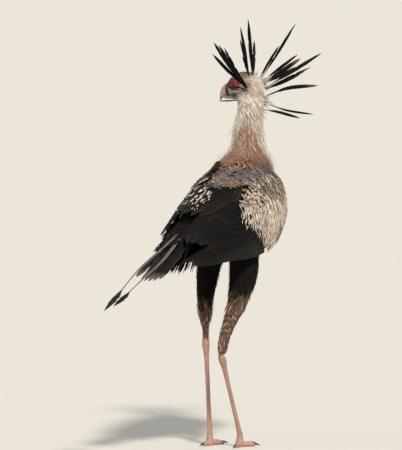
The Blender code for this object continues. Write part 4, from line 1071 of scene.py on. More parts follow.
# Combing: where the coat lies, as directions at known places.
def comb_points():
    """Places on the bird and the direction of the coat there."""
    rows = [
        ((0.119, 0.000, 1.000), (0.0, 0.0, -1.0)),
        ((0.119, 0.000, 0.940), (0.0, 0.0, -1.0)),
        ((0.050, 0.000, 0.905), (-0.35, 0.0, -0.95)),
        ((0.020, 0.000, 0.875), (-0.85, 0.0, -0.45)),
        ((-0.030, 0.000, 0.860), (-0.96, 0.0, -0.28)),
        ((-0.110, 0.000, 0.810), (-0.92, 0.0, -0.40)),
        ((-0.190, 0.000, 0.750), (-0.90, 0.0, -0.42)),
        ((0.175, 0.000, 0.860), (0.10, 0.0, -1.0)),
        ((0.195, 0.000, 0.780), (-0.20, 0.0, -1.0)),
        ((0.165, 0.000, 0.690), (-0.65, 0.0, -0.75)),
        ((0.060, 0.000, 0.620), (-1.0, 0.0, -0.15)),
        ((-0.080, 0.000, 0.620), (-1.0, 0.0, 0.10)),
        ((-0.170, 0.000, 0.665), (-1.0, 0.0, -0.25)),
        ((-0.300, 0.000, 0.650), (-0.90, 0.0, -0.42)),
    ]
    for side in (1, -1):
        rows += [
            ((0.110, side * 0.055, 0.930), (0.0, side * 0.10, -1.0)),
            ((0.105, side * 0.085, 0.870), (-0.25, side * 0.25, -0.95)),
            ((0.030, side * 0.060, 0.865), (-0.80, side * 0.25, -0.55)),
            ((0.120, side * 0.100, 0.820), (-0.45, side * 0.30, -0.85)),
            ((0.180, side * 0.070, 0.760), (-0.40, side * 0.35, -0.85)),
            ((0.150, side * 0.110, 0.680), (-0.70, 0.0, -0.70)),
            ((0.060, side * 0.135, 0.760), (-0.42, side * 0.10, -0.90)),
            ((0.010, side * 0.130, 0.720), (-0.52, 0.0, -0.85)),
            ((0.060, side * 0.130, 0.670), (-0.66, 0.0, -0.75)),
            ((0.000, side * 0.130, 0.640), (-0.78, 0.0, -0.62)),
            ((-0.060, side * 0.110, 0.760), (-0.50, side * 0.10, -0.85)),
            ((-0.060, side * 0.130, 0.670), (-0.78, 0.0, -0.62)),
            ((-0.060, side * 0.050, 0.840), (-0.86, side * 0.12, -0.45)),
            ((-0.160, side * 0.080, 0.730), (-0.86, 0.0, -0.48)),
            ((0.005, side * 0.055, 0.590), (-0.30, 0.0, -0.95)),
            ((-0.010, side * 0.060, 0.520), (-0.22, 0.0, -0.97)),
        ]
        for row, nxt in zip(THIGHS[side][3:-1], THIGHS[side][4:]):
            run = Vector(nxt[:3]) - Vector(row[:3])
            rows.append((row[:3], tuple(run.normalized())))
    for place, way in (
        ((0.048, 0.0, 0.016), (-1.0, 0.0, 0.45)), ((0.020, 0.0, 0.040), (-1.0, 0.0, 0.10)),
        ((-0.020, 0.0, 0.045), (-1.0, 0.0, -0.15)), ((-0.055, 0.0, 0.010), (-0.6, 0.0, -0.8)),
        ((-0.062, 0.0, -0.025), (-0.15, 0.0, -1.0)), ((0.040, 0.0, -0.036), (-1.0, 0.0, -0.35)),
        ((0.010, 0.0, -0.045), (-0.6, 0.0, -0.8)),
        ((0.020, 0.030, -0.016), (-0.95, 0.0, -0.40)), ((0.020, -0.030, -0.016), (-0.95, 0.0, -0.40)),
        ((-0.015, 0.034, 0.002), (-0.90, 0.0, -0.45)), ((-0.015, -0.034, 0.002), (-0.90, 0.0, -0.45)),
        ((-0.035, 0.032, -0.020), (-0.50, 0.0, -0.90)), ((-0.035, -0.032, -0.020), (-0.50, 0.0, -0.90)),
        ((0.000, 0.032, -0.040), (-0.40, 0.0, -0.92)), ((0.000, -0.032, -0.040), (-0.40, 0.0, -0.92)),
    ):
        rows.append((tuple(HEAD @ Vector(place)), tuple(HEAD.to_3x3() @ Vector(way))))
    places = np.array([r[0] for r in rows], float)
    ways = np.array([r[1] for r in rows], float)
    ways /= np.linalg.norm(ways, axis=1)[:, None]
    return places, ways


COMB_PLACES, COMB_WAYS = comb_points()


def comb(points):
    """The direction of the coat at each point."""
    gap = np.linalg.norm(points[:, None, :] - COMB_PLACES[None, :, :], axis=2)
    weight = 1.0 / (gap + 0.004) ** 5
    way = weight @ COMB_WAYS
    return way / np.linalg.norm(way, axis=1)[:, None]


# Building feathers.
ROUND_TIP = (0.45, 0.80, 1.00, 0.96, 0.70, 0.12)
LANCE = (0.45, 0.85, 1.00, 0.80, 0.45, 0.05)
SMALL_RING = ((-1.0, 0.0), (0.0, 1.0), (1.0, 0.0))
LARGE_RING = ((-1.0, 0.0), (-0.5, 0.7), (0.0, 1.6), (0.5, 0.7), (1.0, 0.0), (0.0, -0.6))
PATCH = 0.003


class Coat:
    """Feathers collected for one piece of the coat."""

    def __init__(self, name):
        self.name = name
        self.rows = []

    def add(self, path, normals, half_width, profile, thick, camber, core, rim, shaft, place, jag=0.0):
        """Feathers of one kind: path and normals are (count, knots, 3) arrays."""
        self.rows.append((path, normals, half_width, profile, thick, camber, core, rim, shaft, place, jag))


def along_path(path, normals, rings):
    """Points, directions and normals at even steps on the curves through each path's knots."""
    count, knots, _ = path.shape
    where = np.linspace(0, knots - 1, rings)
    k = np.minimum(where.astype(int), knots - 2)
    u = (where - k)[None, :, None]
    b = path[:, k]
    c = path[:, k + 1]
    a = np.where((k > 0)[None, :, None], path[:, np.maximum(k - 1, 0)], 2 * b - c)
    d = np.where((k < knots - 2)[None, :, None], path[:, np.minimum(k + 2, knots - 1)], 2 * c - b)
    slope = c - a
    bend = 2 * a - 5 * b + 4 * c - d
    jerk = 3 * b - a - 3 * c + d
    points = b + 0.5 * u * (slope + u * (bend + u * jerk))
    along = 0.5 * (slope + u * (2 * bend + 3 * u * jerk))
    along /= np.maximum(np.linalg.norm(along, axis=2), 1e-9)[..., None]
    facing = normals[:, k] * (1 - u) + normals[:, k + 1] * u
    facing = facing - along * np.einsum("nrd,nrd->nr", facing, along)[..., None]
    facing /= np.maximum(np.linalg.norm(facing, axis=2), 1e-9)[..., None]
    return points, along, facing


def feather_arrays(row, rng):
    """Vertices and data of one kind of feather in a coat."""
    path, normals, half_width, profile, thick, camber, core, rim, shaft, place, jag = row
    count = len(path)
    rings = len(profile)
    ring = LARGE_RING if jag > 0 else SMALL_RING
    sides = len(ring)
    points, along, facing = along_path(path, normals, rings)
    across = np.cross(along, facing)
    width = half_width[:, None] * np.array(profile)[None, :]
    width = np.stack([width, width], axis=2)
    if jag > 0:
        width *= 1 - jag * 0.25 * rng.random(width.shape)
        notch = rng.random(width.shape) < jag * 0.10
        notch[:, : rings // 3] = False
        width = np.where(notch, width * rng.uniform(0.45, 0.8, width.shape), width)
    else:
        width *= rng.uniform(0.86, 1.10, width.shape)
    verts = np.empty((count, rings, sides, 3))
    vane = np.empty((count, rings, sides, 3))
    length = np.linalg.norm(path[:, -1] - path[:, 0], axis=1)
    steps = np.linspace(0, 1, rings)
    fade = np.minimum((1 - steps) * 4 + 0.25, 1.0)
    for k, (v, h) in enumerate(ring):
        reach = width[:, :, 0] if v < 0 else width[:, :, 1]
        side = across * (reach * v)[..., None]
        drop = camber * np.abs(v) ** 1.5 * reach
        rise = facing * (thick[:, None] * h * fade[None, :] - drop)[..., None]
        verts[:, :, k] = points + side + rise
        vane[:, :, k, 0] = steps[None, :]
        vane[:, :, k, 1] = v
        vane[:, :, k, 2] = shaft[:, None]
    colour = np.repeat(core, rings * sides, axis=0)
    edge = np.repeat(rim, rings * sides, axis=0)
    spin = rng.random(count) * 2 * math.pi
    local = np.stack([vane[..., 0] - 0.5, vane[..., 1] * 0.5], axis=-1) * PATCH
    c = np.cos(spin)[:, None, None]
    s = np.sin(spin)[:, None, None]
    uv = np.stack([local[..., 0] * c - local[..., 1] * s, local[..., 0] * s + local[..., 1] * c], axis=-1)
    uv = uv + place[:, None, None, :]
    span = np.zeros_like(vane)
    span[..., 0] = vane[..., 0] * length[:, None, None]
    for k, (v, h) in enumerate(ring):
        span[:, :, k, 1] = abs(v) * half_width[:, None]
    faces = []
    for r in range(rings - 1):
        for k in range(sides):
            a = r * sides + k
            b = r * sides + (k + 1) % sides
            faces.append((a, a + sides, b + sides, b))
    caps = [tuple(range(sides)), tuple((rings - 1) * sides + k for k in reversed(range(sides)))]
    return verts, vane, span, colour, edge, uv, np.array(faces), caps, rings * sides


def build_coat(coat, material, seed):
    """The coat's feathers as one mesh."""
    rng = np.random.default_rng(seed)
    all_verts, all_vane, all_span, all_core, all_rim, all_uv = [], [], [], [], [], []
    loops, starts, base, cursor = [], [], 0, 0
    for row in coat.rows:
        verts, vane, span, core, rim, uv, faces, caps, size = feather_arrays(row, rng)
        count = len(verts)
        offsets = base + np.arange(count) * size
        quads = (faces[None] + offsets[:, None, None]).reshape(-1)
        loops.append(quads)
        starts.append(cursor + np.arange(len(quads) // 4) * 4)
        cursor += len(quads)
        for cap in caps:
            ends = (np.array(cap)[None] + offsets[:, None]).reshape(-1)
            loops.append(ends)
            starts.append(cursor + np.arange(count) * len(cap))
            cursor += len(ends)
        base += count * size
        all_verts.append(verts.reshape(-1, 3))
        all_vane.append(vane.reshape(-1, 3))
        all_span.append(span.reshape(-1, 3))
        all_core.append(core)
        all_rim.append(rim)
        all_uv.append(uv.reshape(-1, 2))
    loops = np.concatenate(loops).astype(np.int32)
    starts = np.concatenate(starts).astype(np.int32)
    verts = np.concatenate(all_verts)
    mesh = bpy.data.meshes.new(coat.name)
    mesh.vertices.add(len(verts))
    mesh.vertices.foreach_set("co", verts.astype(np.float32).ravel())
    mesh.loops.add(len(loops))
    mesh.loops.foreach_set("vertex_index", loops)
    mesh.polygons.add(len(starts))
    mesh.polygons.foreach_set("loop_start", starts)
    mesh.update(calc_edges=True)
    write_vector(mesh, "vane", np.concatenate(all_vane))
    write_vector(mesh, "span", np.concatenate(all_span))
    write_colour(mesh, "core", np.concatenate(all_core))
    write_colour(mesh, "rim", np.concatenate(all_rim))
    layer = mesh.uv_layers.new(name="OFBake")
    layer.data.foreach_set("uv", np.concatenate(all_uv)[loops].astype(np.float32).ravel())
    mesh.shade_smooth()
    mesh.set_sharp_from_angle(angle=math.radians(60))
    mesh.materials.append(material)
    obj = bpy.data.objects.new(coat.name, mesh)
    bpy.context.scene.collection.objects.link(obj)
    return obj


def write_vector(mesh, name, values):
    """A vector for each vertex of a mesh."""
    layer = mesh.attributes.new(name, "FLOAT_VECTOR", "POINT")
    layer.data.foreach_set("vector", values.astype(np.float32).ravel())


def write_colour(mesh, name, values):
    """A colour for each vertex of a mesh."""
    full = np.ones((len(values), 4), np.float32)
    full[:, :3] = values
    layer = mesh.color_attributes.new(name, "FLOAT_COLOR", "POINT")
    layer.data.foreach_set("color", full.ravel())


# Small feathers by region: spacing, length, half width, lift at the tip, thickness, blades, wisps.
SMALL = {
    HEAD_FEATHERS: (0.0026, 0.0110, 0.0015, 0.0012, 0.0003, 1, 1),
    NECK_FEATHERS: (0.0052, 0.0420, 0.0018, 0.0055, 0.0004, 2, 2),
    BODY_FEATHERS: (0.0088, 0.0340, 0.0070, 0.0026, 0.0005, 1, 1),
    MANTLE: (0.0102, 0.0400, 0.0092, 0.0030, 0.0005, 1, 1),
    WING_COVERTS: (0.0076, 0.0440, 0.0026, 0.0030, 0.0005, 2, 1),
    THIGH_FEATHERS: (0.0076, 0.0420, 0.0040, 0.0036, 0.0005, 2, 1),
    SHANK_FEATHERS: (0.0042, 0.0140, 0.0026, 0.0012, 0.0004, 1, 1),
}
SHELL_TIP = 0.0016
SHELL_MIDDLE = -0.0022


# Size of the cells in which near points are looked for, the number of points tried, and the share of
# the spacing they keep.
CELL = 0.012
TRIES = 90000
SPACING_SHARE = 0.86


def crowded(grid, home, p, gap):
    """Whether a kept point lies within the gap round p."""
    for dx in (-1, 0, 1):
        for dy in (-1, 0, 1):
            for dz in (-1, 0, 1):
                for q in grid.get((home[0] + dx, home[1] + dy, home[2] + dz), ()):
                    if (p[0] - q[0]) ** 2 + (p[1] - q[1]) ** 2 + (p[2] - q[2]) ** 2 < gap * gap:
                        return True
    return False


def thin_out(points, spacing, order):
    """Indices of a subset of points that keep their spacing, taken in the given order."""
    grid = {}
    kept = []
    for k in order:
        p = points[k]
        home = tuple(int(v // CELL) for v in p)
        if not crowded(grid, home, p, spacing[k]):
            grid.setdefault(home, []).append((p[0], p[1], p[2]))
            kept.append(k)
    return np.array(kept)


def small_feathers(surface):
    """Body feathers all over the skin, each lying along the comb and bending with the body."""
    rng = np.random.default_rng(11)
    points, normals, places = surface.scatter(TRIES, rng)
    wings = wing_places(points)
    region = regions(points, wings)
    spacing = np.zeros(len(points))
    for name, row in SMALL.items():
        spacing[region == name] = row[0] * SPACING_SHARE
    usable = np.nonzero(region != BARE)[0]
    kept = thin_out(points, spacing, rng.permutation(usable))
    points, normals, places = points[kept], normals[kept], places[kept]
    wings, region = wings[kept], region[kept]
    way = comb(points)
    coats = {}
    for name, row in SMALL.items():
        pick = np.nonzero(region == name)[0]
        coat = Coat(COAT_NAMES[name])
        _, length, half_width, lift, thick, blades, wisps = row
        for blade in range(blades + wisps):
            wisp = blade >= blades
            size = (length * (1.12 if wisp else 1.0), half_width * (0.30 if wisp else 1.0))
            lay_blades(coat, surface, name, points[pick], normals[pick], places[pick], way[pick],
                       size, lift * (1.5 if wisp else 1.0), thick, blade, rng)
        coats[name] = coat
    return coats


COAT_NAMES = {
    HEAD_FEATHERS: "coat_head", NECK_FEATHERS: "coat_neck", BODY_FEATHERS: "coat_body",
    MANTLE: "coat_mantle", WING_COVERTS: "coat_wings", THIGH_FEATHERS: "coat_thighs",
    SHANK_FEATHERS: "coat_shanks",
}


def lay_blades(coat, surface, name, p, n, place, way, size, lift, thick, blade, rng):
    """One feather at each root, lying along the comb and bending with the body."""
    length, half_width = size
    count = len(p)
    heading = way + rng.normal(0, 0.12 + 0.05 * blade, (count, 3))
    heading -= n * np.einsum("nd,nd->n", heading, n)[:, None]
    heading /= np.maximum(np.linalg.norm(heading, axis=1), 1e-9)[:, None]
    reach = length * rng.uniform(0.75, 1.20, count)
    high = lift * rng.uniform(0.3, 1.7, count)
    wide = np.full(count, half_width)
    if name == HEAD_FEATHERS:
        head = in_head(p)
        longer = 1 + 1.4 * smooth(-head[:, 0], 0.010, 0.050) + 1.3 * smooth(-head[:, 2], 0.02, 0.05)
        longer *= 1 - 0.45 * smooth(head[:, 0], 0.012, 0.040)
        reach = reach * longer
        high = high * longer
    if name == NECK_FEATHERS:
        stray = rng.random(count) < 0.07
        high = np.where(stray, high * 2.4, high)
        reach = reach * (1.15 - 0.25 * smooth(p[:, 2], 0.90, 1.0))
    if name == WING_COVERTS:
        high_up = smooth(wing_places(p)[:, 1], 0.56, 0.68)
        wide = wide * (1 + 0.9 * high_up)
        reach = reach * (1 - 0.35 * high_up)
    base = 0.0012 + 0.0004 * blade
    half_way = p + heading * (reach * 0.5)[:, None]
    if name in (WING_COVERTS, MANTLE):
        mid, mid_normal = on_shell(half_way)
        off_wing = np.linalg.norm(mid - half_way, axis=1) > 0.02
        skin_mid, skin_normal, hit = surface.snap(half_way, 0.03)
        mid_normal = np.where(off_wing[:, None], skin_normal, mid_normal)
        mid = np.where(off_wing[:, None], skin_mid + skin_normal * 0.005, mid)
        onward = mid + (mid - p) / np.linalg.norm(mid - p, axis=1)[:, None] * (reach * 0.5)[:, None]
        tip, tip_normal = on_shell(onward)
        skin_tip, skin_normal, hit = surface.snap(onward, 0.05)
        tip_normal = np.where(off_wing[:, None], skin_normal, tip_normal)
        tip = np.where(off_wing[:, None], skin_tip + skin_normal * 0.005, tip)
        where = wing_places(tip)
        edge = smooth(where[:, 0] - border(where[:, 1]), -0.22, 0.0)
        edge = np.where(name == MANTLE, smooth(mantle_end(tip[:, 1]) - tip[:, 0], -0.10, 0.0), edge)
        mid_lift = SHELL_MIDDLE + high * 0.3 + 0.0030 * edge
        tip_lift = SHELL_TIP + high * 0.6 + 0.0042 * edge
    else:
        mid, mid_normal, hit = surface.snap(half_way, 0.02)
        mid_normal = np.where(hit[:, None], mid_normal, n)
        turn = mid - p
        turn /= np.maximum(np.linalg.norm(turn, axis=1), 1e-9)[:, None]
        tip, tip_normal, hit = surface.snap(mid + turn * (reach * 0.5)[:, None], 0.02)
        tip_normal = np.where(hit[:, None], tip_normal, mid_normal)
        mid_lift = base + high * 0.45
        tip_lift = base + high
    knots = np.stack([
        p - n * 0.0015, mid + mid_normal * mid_lift[:, None], tip + tip_normal * tip_lift[:, None],
    ], axis=1)
    facing = np.stack([n, mid_normal, tip_normal], axis=1)
    seen = wing_places(tip)
    core, rim, shaft = markings(tip, seen, rng)
    keep = np.ones(count, bool)
    if name == WING_COVERTS:
        keep = seen[:, 0] < border(seen[:, 1]) + rng.uniform(-0.01, 0.035, count)
    if name == MANTLE:
        keep = tip[:, 0] > mantle_end(tip[:, 1]) - rng.uniform(0.0, 0.018, count)
    tone = rng.uniform(0.84, 1.12, (count, 1))
    narrow = name in (NECK_FEATHERS, WING_COVERTS, THIGH_FEATHERS) or half_width < 0.0012
    wide = wide * rng.uniform(0.8, 1.2, count)
    coat.add(
        knots[keep], facing[keep], wide[keep], LANCE if narrow else ROUND_TIP,
        np.full(keep.sum(), thick), 0.18, (core * tone)[keep], (rim * tone)[keep], shaft[keep],
        place[keep],
    )


def shape(knots, rings):
    """Relative widths at even steps along a feather from (place, width) pairs."""
    table = np.array(knots)
    return tuple(float(v) for v in np.interp(np.linspace(0, 1, rings), table[:, 0], table[:, 1]))


VANE = shape(((0, 0.5), (0.15, 0.9), (0.35, 1.0), (0.75, 0.96), (0.88, 0.80), (0.96, 0.5), (1, 0.1)), 24)
QUILL = shape(((0, 0.5), (0.12, 0.85), (0.3, 1.0), (0.55, 0.9), (0.8, 0.6), (0.94, 0.34), (1, 0.06)), 24)
# Rows of large wing feathers: name, count, t of the first and last root, s of the first and last
# root, s of the first and last tip, t gained by the first and last, half width, lift of the first and
# last tip, profile, jag.
WING_ROWS = (
    ("primary", 11, 0.00, 0.32, 0.37, 0.46, 0.90, 1.02, 0.09, 0.13, 0.0088, 0.0004, 0.0034, QUILL, 0.7),
    ("secondary", 15, 0.18, 0.72, 0.38, 0.40, 0.80, 0.95, 0.10, 0.12, 0.0120, 0.0024, 0.0060, VANE, 0.6),
    ("inner", 12, 0.30, 0.84, 0.36, 0.40, 0.66, 0.80, 0.08, 0.08, 0.0110, 0.0032, 0.0064, VANE, 0.7),
    ("tertial", 9, 0.70, 0.98, 0.42, 0.60, 0.74, 0.84, 0.05, 0.02, 0.0130, 0.0056, 0.0070, VANE, 0.8),
)
LEFT_WIDER = 1.12
WING_THICK = 0.0008
# The raised feathers of each wing: root and tip as (s, t), lift, half width.
RAISED = {
    -1: ((0.60, 0.69), (0.50, 0.77), 0.024, 0.017),
    1: ((0.60, 0.88), (0.70, 0.97), 0.020, 0.013),
}
# Least distance of a wing's feathers from the middle plane, and their lean towards the upper edge.
MIDLINE = 0.0008
ROLL = 0.32


def wing_path(side, root, tip, lift, sink=0.004, knots=6):
    """Knots and normals of a feather along the wing, from (s, t) to (s, t)."""
    points = []
    normals = []
    for k in range(knots):
        u = k / (knots - 1)
        s = root[0] + (tip[0] - root[0]) * u
        t = root[1] + (tip[1] - root[1]) * u
        normal = wing_normal(s, t, side)
        point = wing_point(s, t, side) + normal * (lift * u - sink * (1 - u) ** 2)
        upward = wing_point(s, min(t + 0.05, 1.05), side) - wing_point(s, t - 0.05, side)
        points.append(point)
        normals.append((normal + upward.normalized() * ROLL).normalized())
    return points, normals


def wing_colours(kind, rng):
    """Middle and rim colours and shaft tone of one large wing feather."""
    noise = rng.random()
    if kind == "tertial":
        return BROWN_BLACK * (0.4 + 0.4 * noise), BROWN_BLACK * 1.1, 1.5
    return BLACK * (0.7 + 0.6 * noise), BROWN_BLACK * 0.7, 1.8


def large_coat(name, feathers, surface):
    """A coat of large feathers given one by one."""
    coat = Coat(name)
    groups = {}
    for f in feathers:
        groups.setdefault((f["profile"], len(f["points"]), f["jag"]), []).append(f)
    for (profile, _, jag), group in groups.items():
        coat.add(
            np.array([[tuple(p) for p in f["points"]] for f in group]),
            np.array([[tuple(n) for n in f["normals"]] for f in group]),
            np.array([f["half_width"] for f in group]),
            profile,
            np.array([f["thick"] for f in group]),
            0.16,
            np.array([f["core"] for f in group]),
            np.array([f["rim"] for f in group]),
            np.array([f["shaft"] for f in group]),
            np.array([surface.place(f["points"][0]) for f in group]),
            jag,
        )
    return coat


def feather(points, normals, half_width, profile, thick, core, rim, shaft, jag):
    """One large feather as a record."""
    return {
        "points": points, "normals": normals, "half_width": half_width, "profile": profile,
        "thick": thick, "core": np.clip(core, 0, 1), "rim": np.clip(rim, 0, 1), "shaft": shaft, "jag": jag,
    }


def wing_feathers(side):
    """Remiges, coverts and scapulars of one wing."""
    rng = random.Random(140 + side)
    out = []
    for row in WING_ROWS:
        kind, count, t_first, t_last, root_first, root_last, tip_first, tip_last = row[:8]
        turn_first, turn_last, half_width, lift_first, lift_last, profile, jag = row[8:]
        for k in range(count):
            u = k / (count - 1)
            t = t_first + (t_last - t_first) * u
            root = (root_first + (root_last - root_first) * u, t)
            turn = turn_first + (turn_last - turn_first) * u
            reach = tip_first + (tip_last - tip_first) * u + rng.uniform(-0.016, 0.016)
            tip = (reach, min(t + turn + rng.uniform(-0.010, 0.010), 1.0))
            lift = lift_first + (lift_last - lift_first) * u + rng.uniform(0.0, 0.0014)
            points, normals = wing_path(side, root, tip, lift)
            core, rim, shaft = wing_colours(kind, rng)
            wide = half_width * rng.uniform(0.90, 1.08) * (LEFT_WIDER if side > 0 else 1.0)
            out.append(feather(points, normals, wide, profile, WING_THICK, core, rim, shaft, jag))
    root, tip, lift, half_width = RAISED[side]
    for k in range(3):
        shift = 0.02 * k
        end = (tip[0] + 0.3 * shift, tip[1] - shift)
        points, normals = wing_path(side, root, end, lift * (0.8 - 0.2 * k))
        core = BLACK * 0.6
        rim = srgb(104, 78, 60) if k == 0 else BROWN_BLACK
        out.append(feather(points, normals, half_width * 0.62, QUILL, WING_THICK, core, rim, 1.4, 0.6))
    out += rump_feathers(side)
    for f in out:
        f["points"] = [Vector((p.x, side * max(side * p.y, MIDLINE), p.z)) for p in f["points"]]
    return out


# Whitish feathers where the folded wings meet over the rump: count, then s and t from and to.
RUMP = {1: (64, 0.56, 0.74, 0.78, 0.99), -1: (34, 0.60, 0.74, 0.88, 0.99)}


def rump_feathers(side):
    """Small whitish spotted feathers lying on the upper hind edge of a folded wing."""
    rng = random.Random(60 + side)
    count, s_from, s_to, t_from, t_to = RUMP[side]
    out = []
    for k in range(count):
        s = s_from + (s_to - s_from) * (k + rng.random()) / count
        t = rng.uniform(t_from, t_to)
        tip = (s + rng.uniform(0.045, 0.065), min(t + rng.uniform(-0.03, 0.02), 0.995))
        points, normals = wing_path(side, (s, t), tip, 0.0065 + 0.0030 * rng.random())
        core = mix(mix(WHITE, TAN, 0.5 * rng.random()), WARM_GREY, rng.random() ** 2)
        if rng.random() < 0.25:
            core = mix(core, DARK_GREY, 0.7)
        wide = rng.uniform(0.0028, 0.0042)
        out.append(feather(points, normals, wide, QUILL, 0.0006, core, WHITE, 0.75, 0.5))
    return out


CREST_VANE = shape(((0, 0.09), (0.25, 0.12), (0.42, 0.26), (0.55, 0.55), (0.68, 0.86), (0.78, 1.0),
                    (0.88, 0.92), (0.95, 0.60), (1, 0.06)), 40)
FULL_VANE = shape(((0, 0.45), (0.25, 0.62), (0.42, 0.74), (0.60, 0.88), (0.75, 1.0), (0.88, 0.92),
                   (0.95, 0.60), (1, 0.06)), 40)
# Crest feathers by their place in the two lists: broad at the root, and those with other traits.
FORWARD_CREST = (0, 1, 2, 17, 18)
# Where the middle feathers' shafts lie over the side of the head.
LOW_STARTS = {3: (0.0878, 0.088, 1.050), 4: (0.080, 0.086, 1.066)}
WIDER = {12: 1.6}
THIN_VANE = shape(((0, 0.3), (0.3, 0.5), (0.6, 1.0), (0.8, 0.9), (0.95, 0.4), (1, 0.06)), 16)
BROWN_CREST = (9, 11, 12, 23)
PALE_QUILLS = (6, 7, 8, 9, 10, 11, 12, 13, 14, 22, 23, 24)
# Share of the listed half width, for the listed feathers and for those that fill the groups.
CREST_SHARE = 0.82
FILL_SHARE = 0.74
PLUMES = 120
PLUME_WIDE = 0.0013


def crest_feathers():
    """The long feathers that stand off the nape, some doubled."""
    rng = random.Random(9)
    out = []
    centre = view_point(*CREST_CENTRE)
    for k, (root, tip, half_width, droop) in enumerate(CREST + CREST_FILL):
        root = view_point(*root)
        tip = view_point(*tip)
        start = root + (centre - root) * 0.30
        if k in LOW_STARTS:
            start = view_point(*LOW_STARTS[k])
            root = root - VIEW_AHEAD * 0.009
        middle = root * 0.45 + tip * 0.55 - Vector((0, 0, droop))
        points = [start, root, root * 0.72 + tip * 0.28 - Vector((0, 0, droop * 0.7)), middle, tip]
        stray = Vector((rng.uniform(-0.25, 0.25), rng.uniform(-0.25, 0.25), 0.1))
        facing = (-VIEW_AHEAD + stray).normalized()
        core = BLACK * rng.uniform(0.5, 0.9)
        rim = BLACK * rng.uniform(0.7, 1.2)
        if k in BROWN_CREST:
            rim = srgb(92, 72, 56)
        wide = half_width * (CREST_SHARE if k < len(CREST) else FILL_SHARE) * WIDER.get(k, 1.0)
        vane = FULL_VANE if k in FORWARD_CREST else CREST_VANE
        out.append(feather(points, [facing] * 5, wide, vane, 0.0006, core, rim, 1.6, 0.45))
        if k in PALE_QUILLS:
            quill = [start, root, root * 0.86 + tip * 0.14, root * 0.66 + tip * 0.34]
            quill = [p + facing * 0.0006 for p in quill]
            quill[3] -= Vector((0, 0, droop * 0.7))
            out.append(feather(quill, [facing] * 4, PLUME_WIDE, THIN_VANE, 0.0005, CREAM, WHITE, 1.0, 0.3))
    return out


def nape_plumes():
    """Pale narrow feathers at the foot of the crest."""
    rng = random.Random(12)
    out = []
    centre = view_point(*CREST_CENTRE)
    for _ in range(PLUMES):
        base = CREST[rng.randrange(3, 15)]
        root = view_point(*base[0]) + Vector([rng.uniform(-0.012, 0.012) for _ in range(3)])
        tip = view_point(*base[1])
        run = (tip - root).normalized()
        run = (run + Vector([rng.uniform(-0.35, 0.35) for _ in range(3)])).normalized()
        length = rng.uniform(0.016, 0.038)
        start = root + (centre - root) * 0.2
        end = root + run * length
        facing = (-VIEW_AHEAD + Vector((0, 0, 0.3))).normalized()
        core = mix(CREAM, WARM_GREY, rng.random() ** 2)
        if rng.random() < 0.2:
            core = BROWN_BLACK
        points = [start, root, (root + end) / 2, end - Vector((0, 0, 0.005))]
        out.append(feather(points, [facing] * 4, PLUME_WIDE, THIN_VANE, 0.0004,
                           core, core * 1.05, 0.7, 0.3))
    return out


CENTRAL_VANE = shape(((0, 0.55), (0.20, 0.45), (0.45, 0.34), (0.66, 0.18), (0.72, 0.22), (0.77, 0.70),
                      (0.81, 1.0), (0.86, 0.98), (0.91, 0.70), (0.96, 0.36), (1, 0.05)), 48)
CENTRAL_PATHS = (
    ((0.12, 0.000, 0.010), (0.211, -0.004, 0.010), (0.362, 0.010, 0.006), (0.502, 0.004, 0.000),
     (0.612, -0.005, -0.001)),
    ((0.12, -0.012, 0.006), (0.294, -0.036, 0.004), (0.405, -0.027, -0.001), (0.498, -0.020, -0.005),
     (0.570, -0.012, -0.008)),
)


TAIL_COVERTS = 16
VENT_ROWS = 3
VENT_IN_ROW = 16


def tail_feathers():
    """Laterals under the two long central feathers, and the coverts over their roots."""
    rng = random.Random(21)
    out = []
    for back, left, up in LATERALS:
        root = (0.08, left * 0.45, up * 0.20)
        path = [root, (0.15, left * 0.62, up * 0.38), (0.22, left * 0.75, up * 0.55),
                (0.30, left * 0.88, up * 0.78), (back, left, up)]
        points = [tail_point(*p) for p in path]
        facing = (TAIL_UP + Vector((0, left * 6, 0))).normalized()
        core = BLACK * rng.uniform(0.9, 1.5)
        rim = WARM_GREY * 0.35
        out.append(feather(points, [facing] * 5, 0.0130, VANE, 0.0009, core, rim, 1.6, 0.8))
    for path in CENTRAL_PATHS:
        points = [tail_point(*p) for p in path]
        core = srgb(84, 74, 68)
        rim = srgb(168, 154, 144)
        out.append(feather(points, [TAIL_UP] * 5, 0.0125, CENTRAL_VANE, 0.0010, core, rim, 2.4, 0.5))
    for k in range(TAIL_COVERTS):
        left = -0.028 + 0.056 * (k % 8) / 7
        row = k // 8
        root = (0.00 + 0.05 * row, left * 0.8, 0.020 - 0.012 * row)
        middle = (root[0] + 0.05, left, 0.016 - 0.006 * row)
        path = [root, middle, (root[0] + 0.13, left * 1.2 - 0.01, 0.006)]
        points = [tail_point(*p) for p in path]
        core = BLACK * rng.uniform(0.9, 1.4)
        out.append(feather(points, [TAIL_UP] * 3, 0.009, VANE, 0.0008, core, BROWN_BLACK, 1.5, 0.9))
    return out


def vent_feathers():
    """Long black feathers under the tail, from the vent back and down."""
    rng = random.Random(33)
    out = []
    for k in range(VENT_ROWS * VENT_IN_ROW):
        u = (k % VENT_IN_ROW) / (VENT_IN_ROW - 1)
        row = k // VENT_IN_ROW
        left = -0.050 + 0.086 * u
        root = Vector((-0.150 - 0.022 * row, left * 0.7, 0.672 + 0.008 * row))
        tip = Vector((-0.305 - 0.048 * row + 0.03 * abs(u - 0.5), left * 1.15 - 0.006, 0.560 + 0.002 * row))
        tip += Vector([rng.uniform(-0.012, 0.012) for _ in range(3)])
        middle = (root + tip) / 2 + Vector((-0.006, 0, 0.008 + 0.01 * rng.random()))
        facing = Vector((-0.4, left * 4, -0.8)).normalized()
        core = BLACK * rng.uniform(0.8, 1.4)
        points = [root, middle, tip]
        out.append(feather(points, [facing] * 3, 0.0080, QUILL, 0.0008, core, BROWN_BLACK, 1.5, 1.0))
    return out


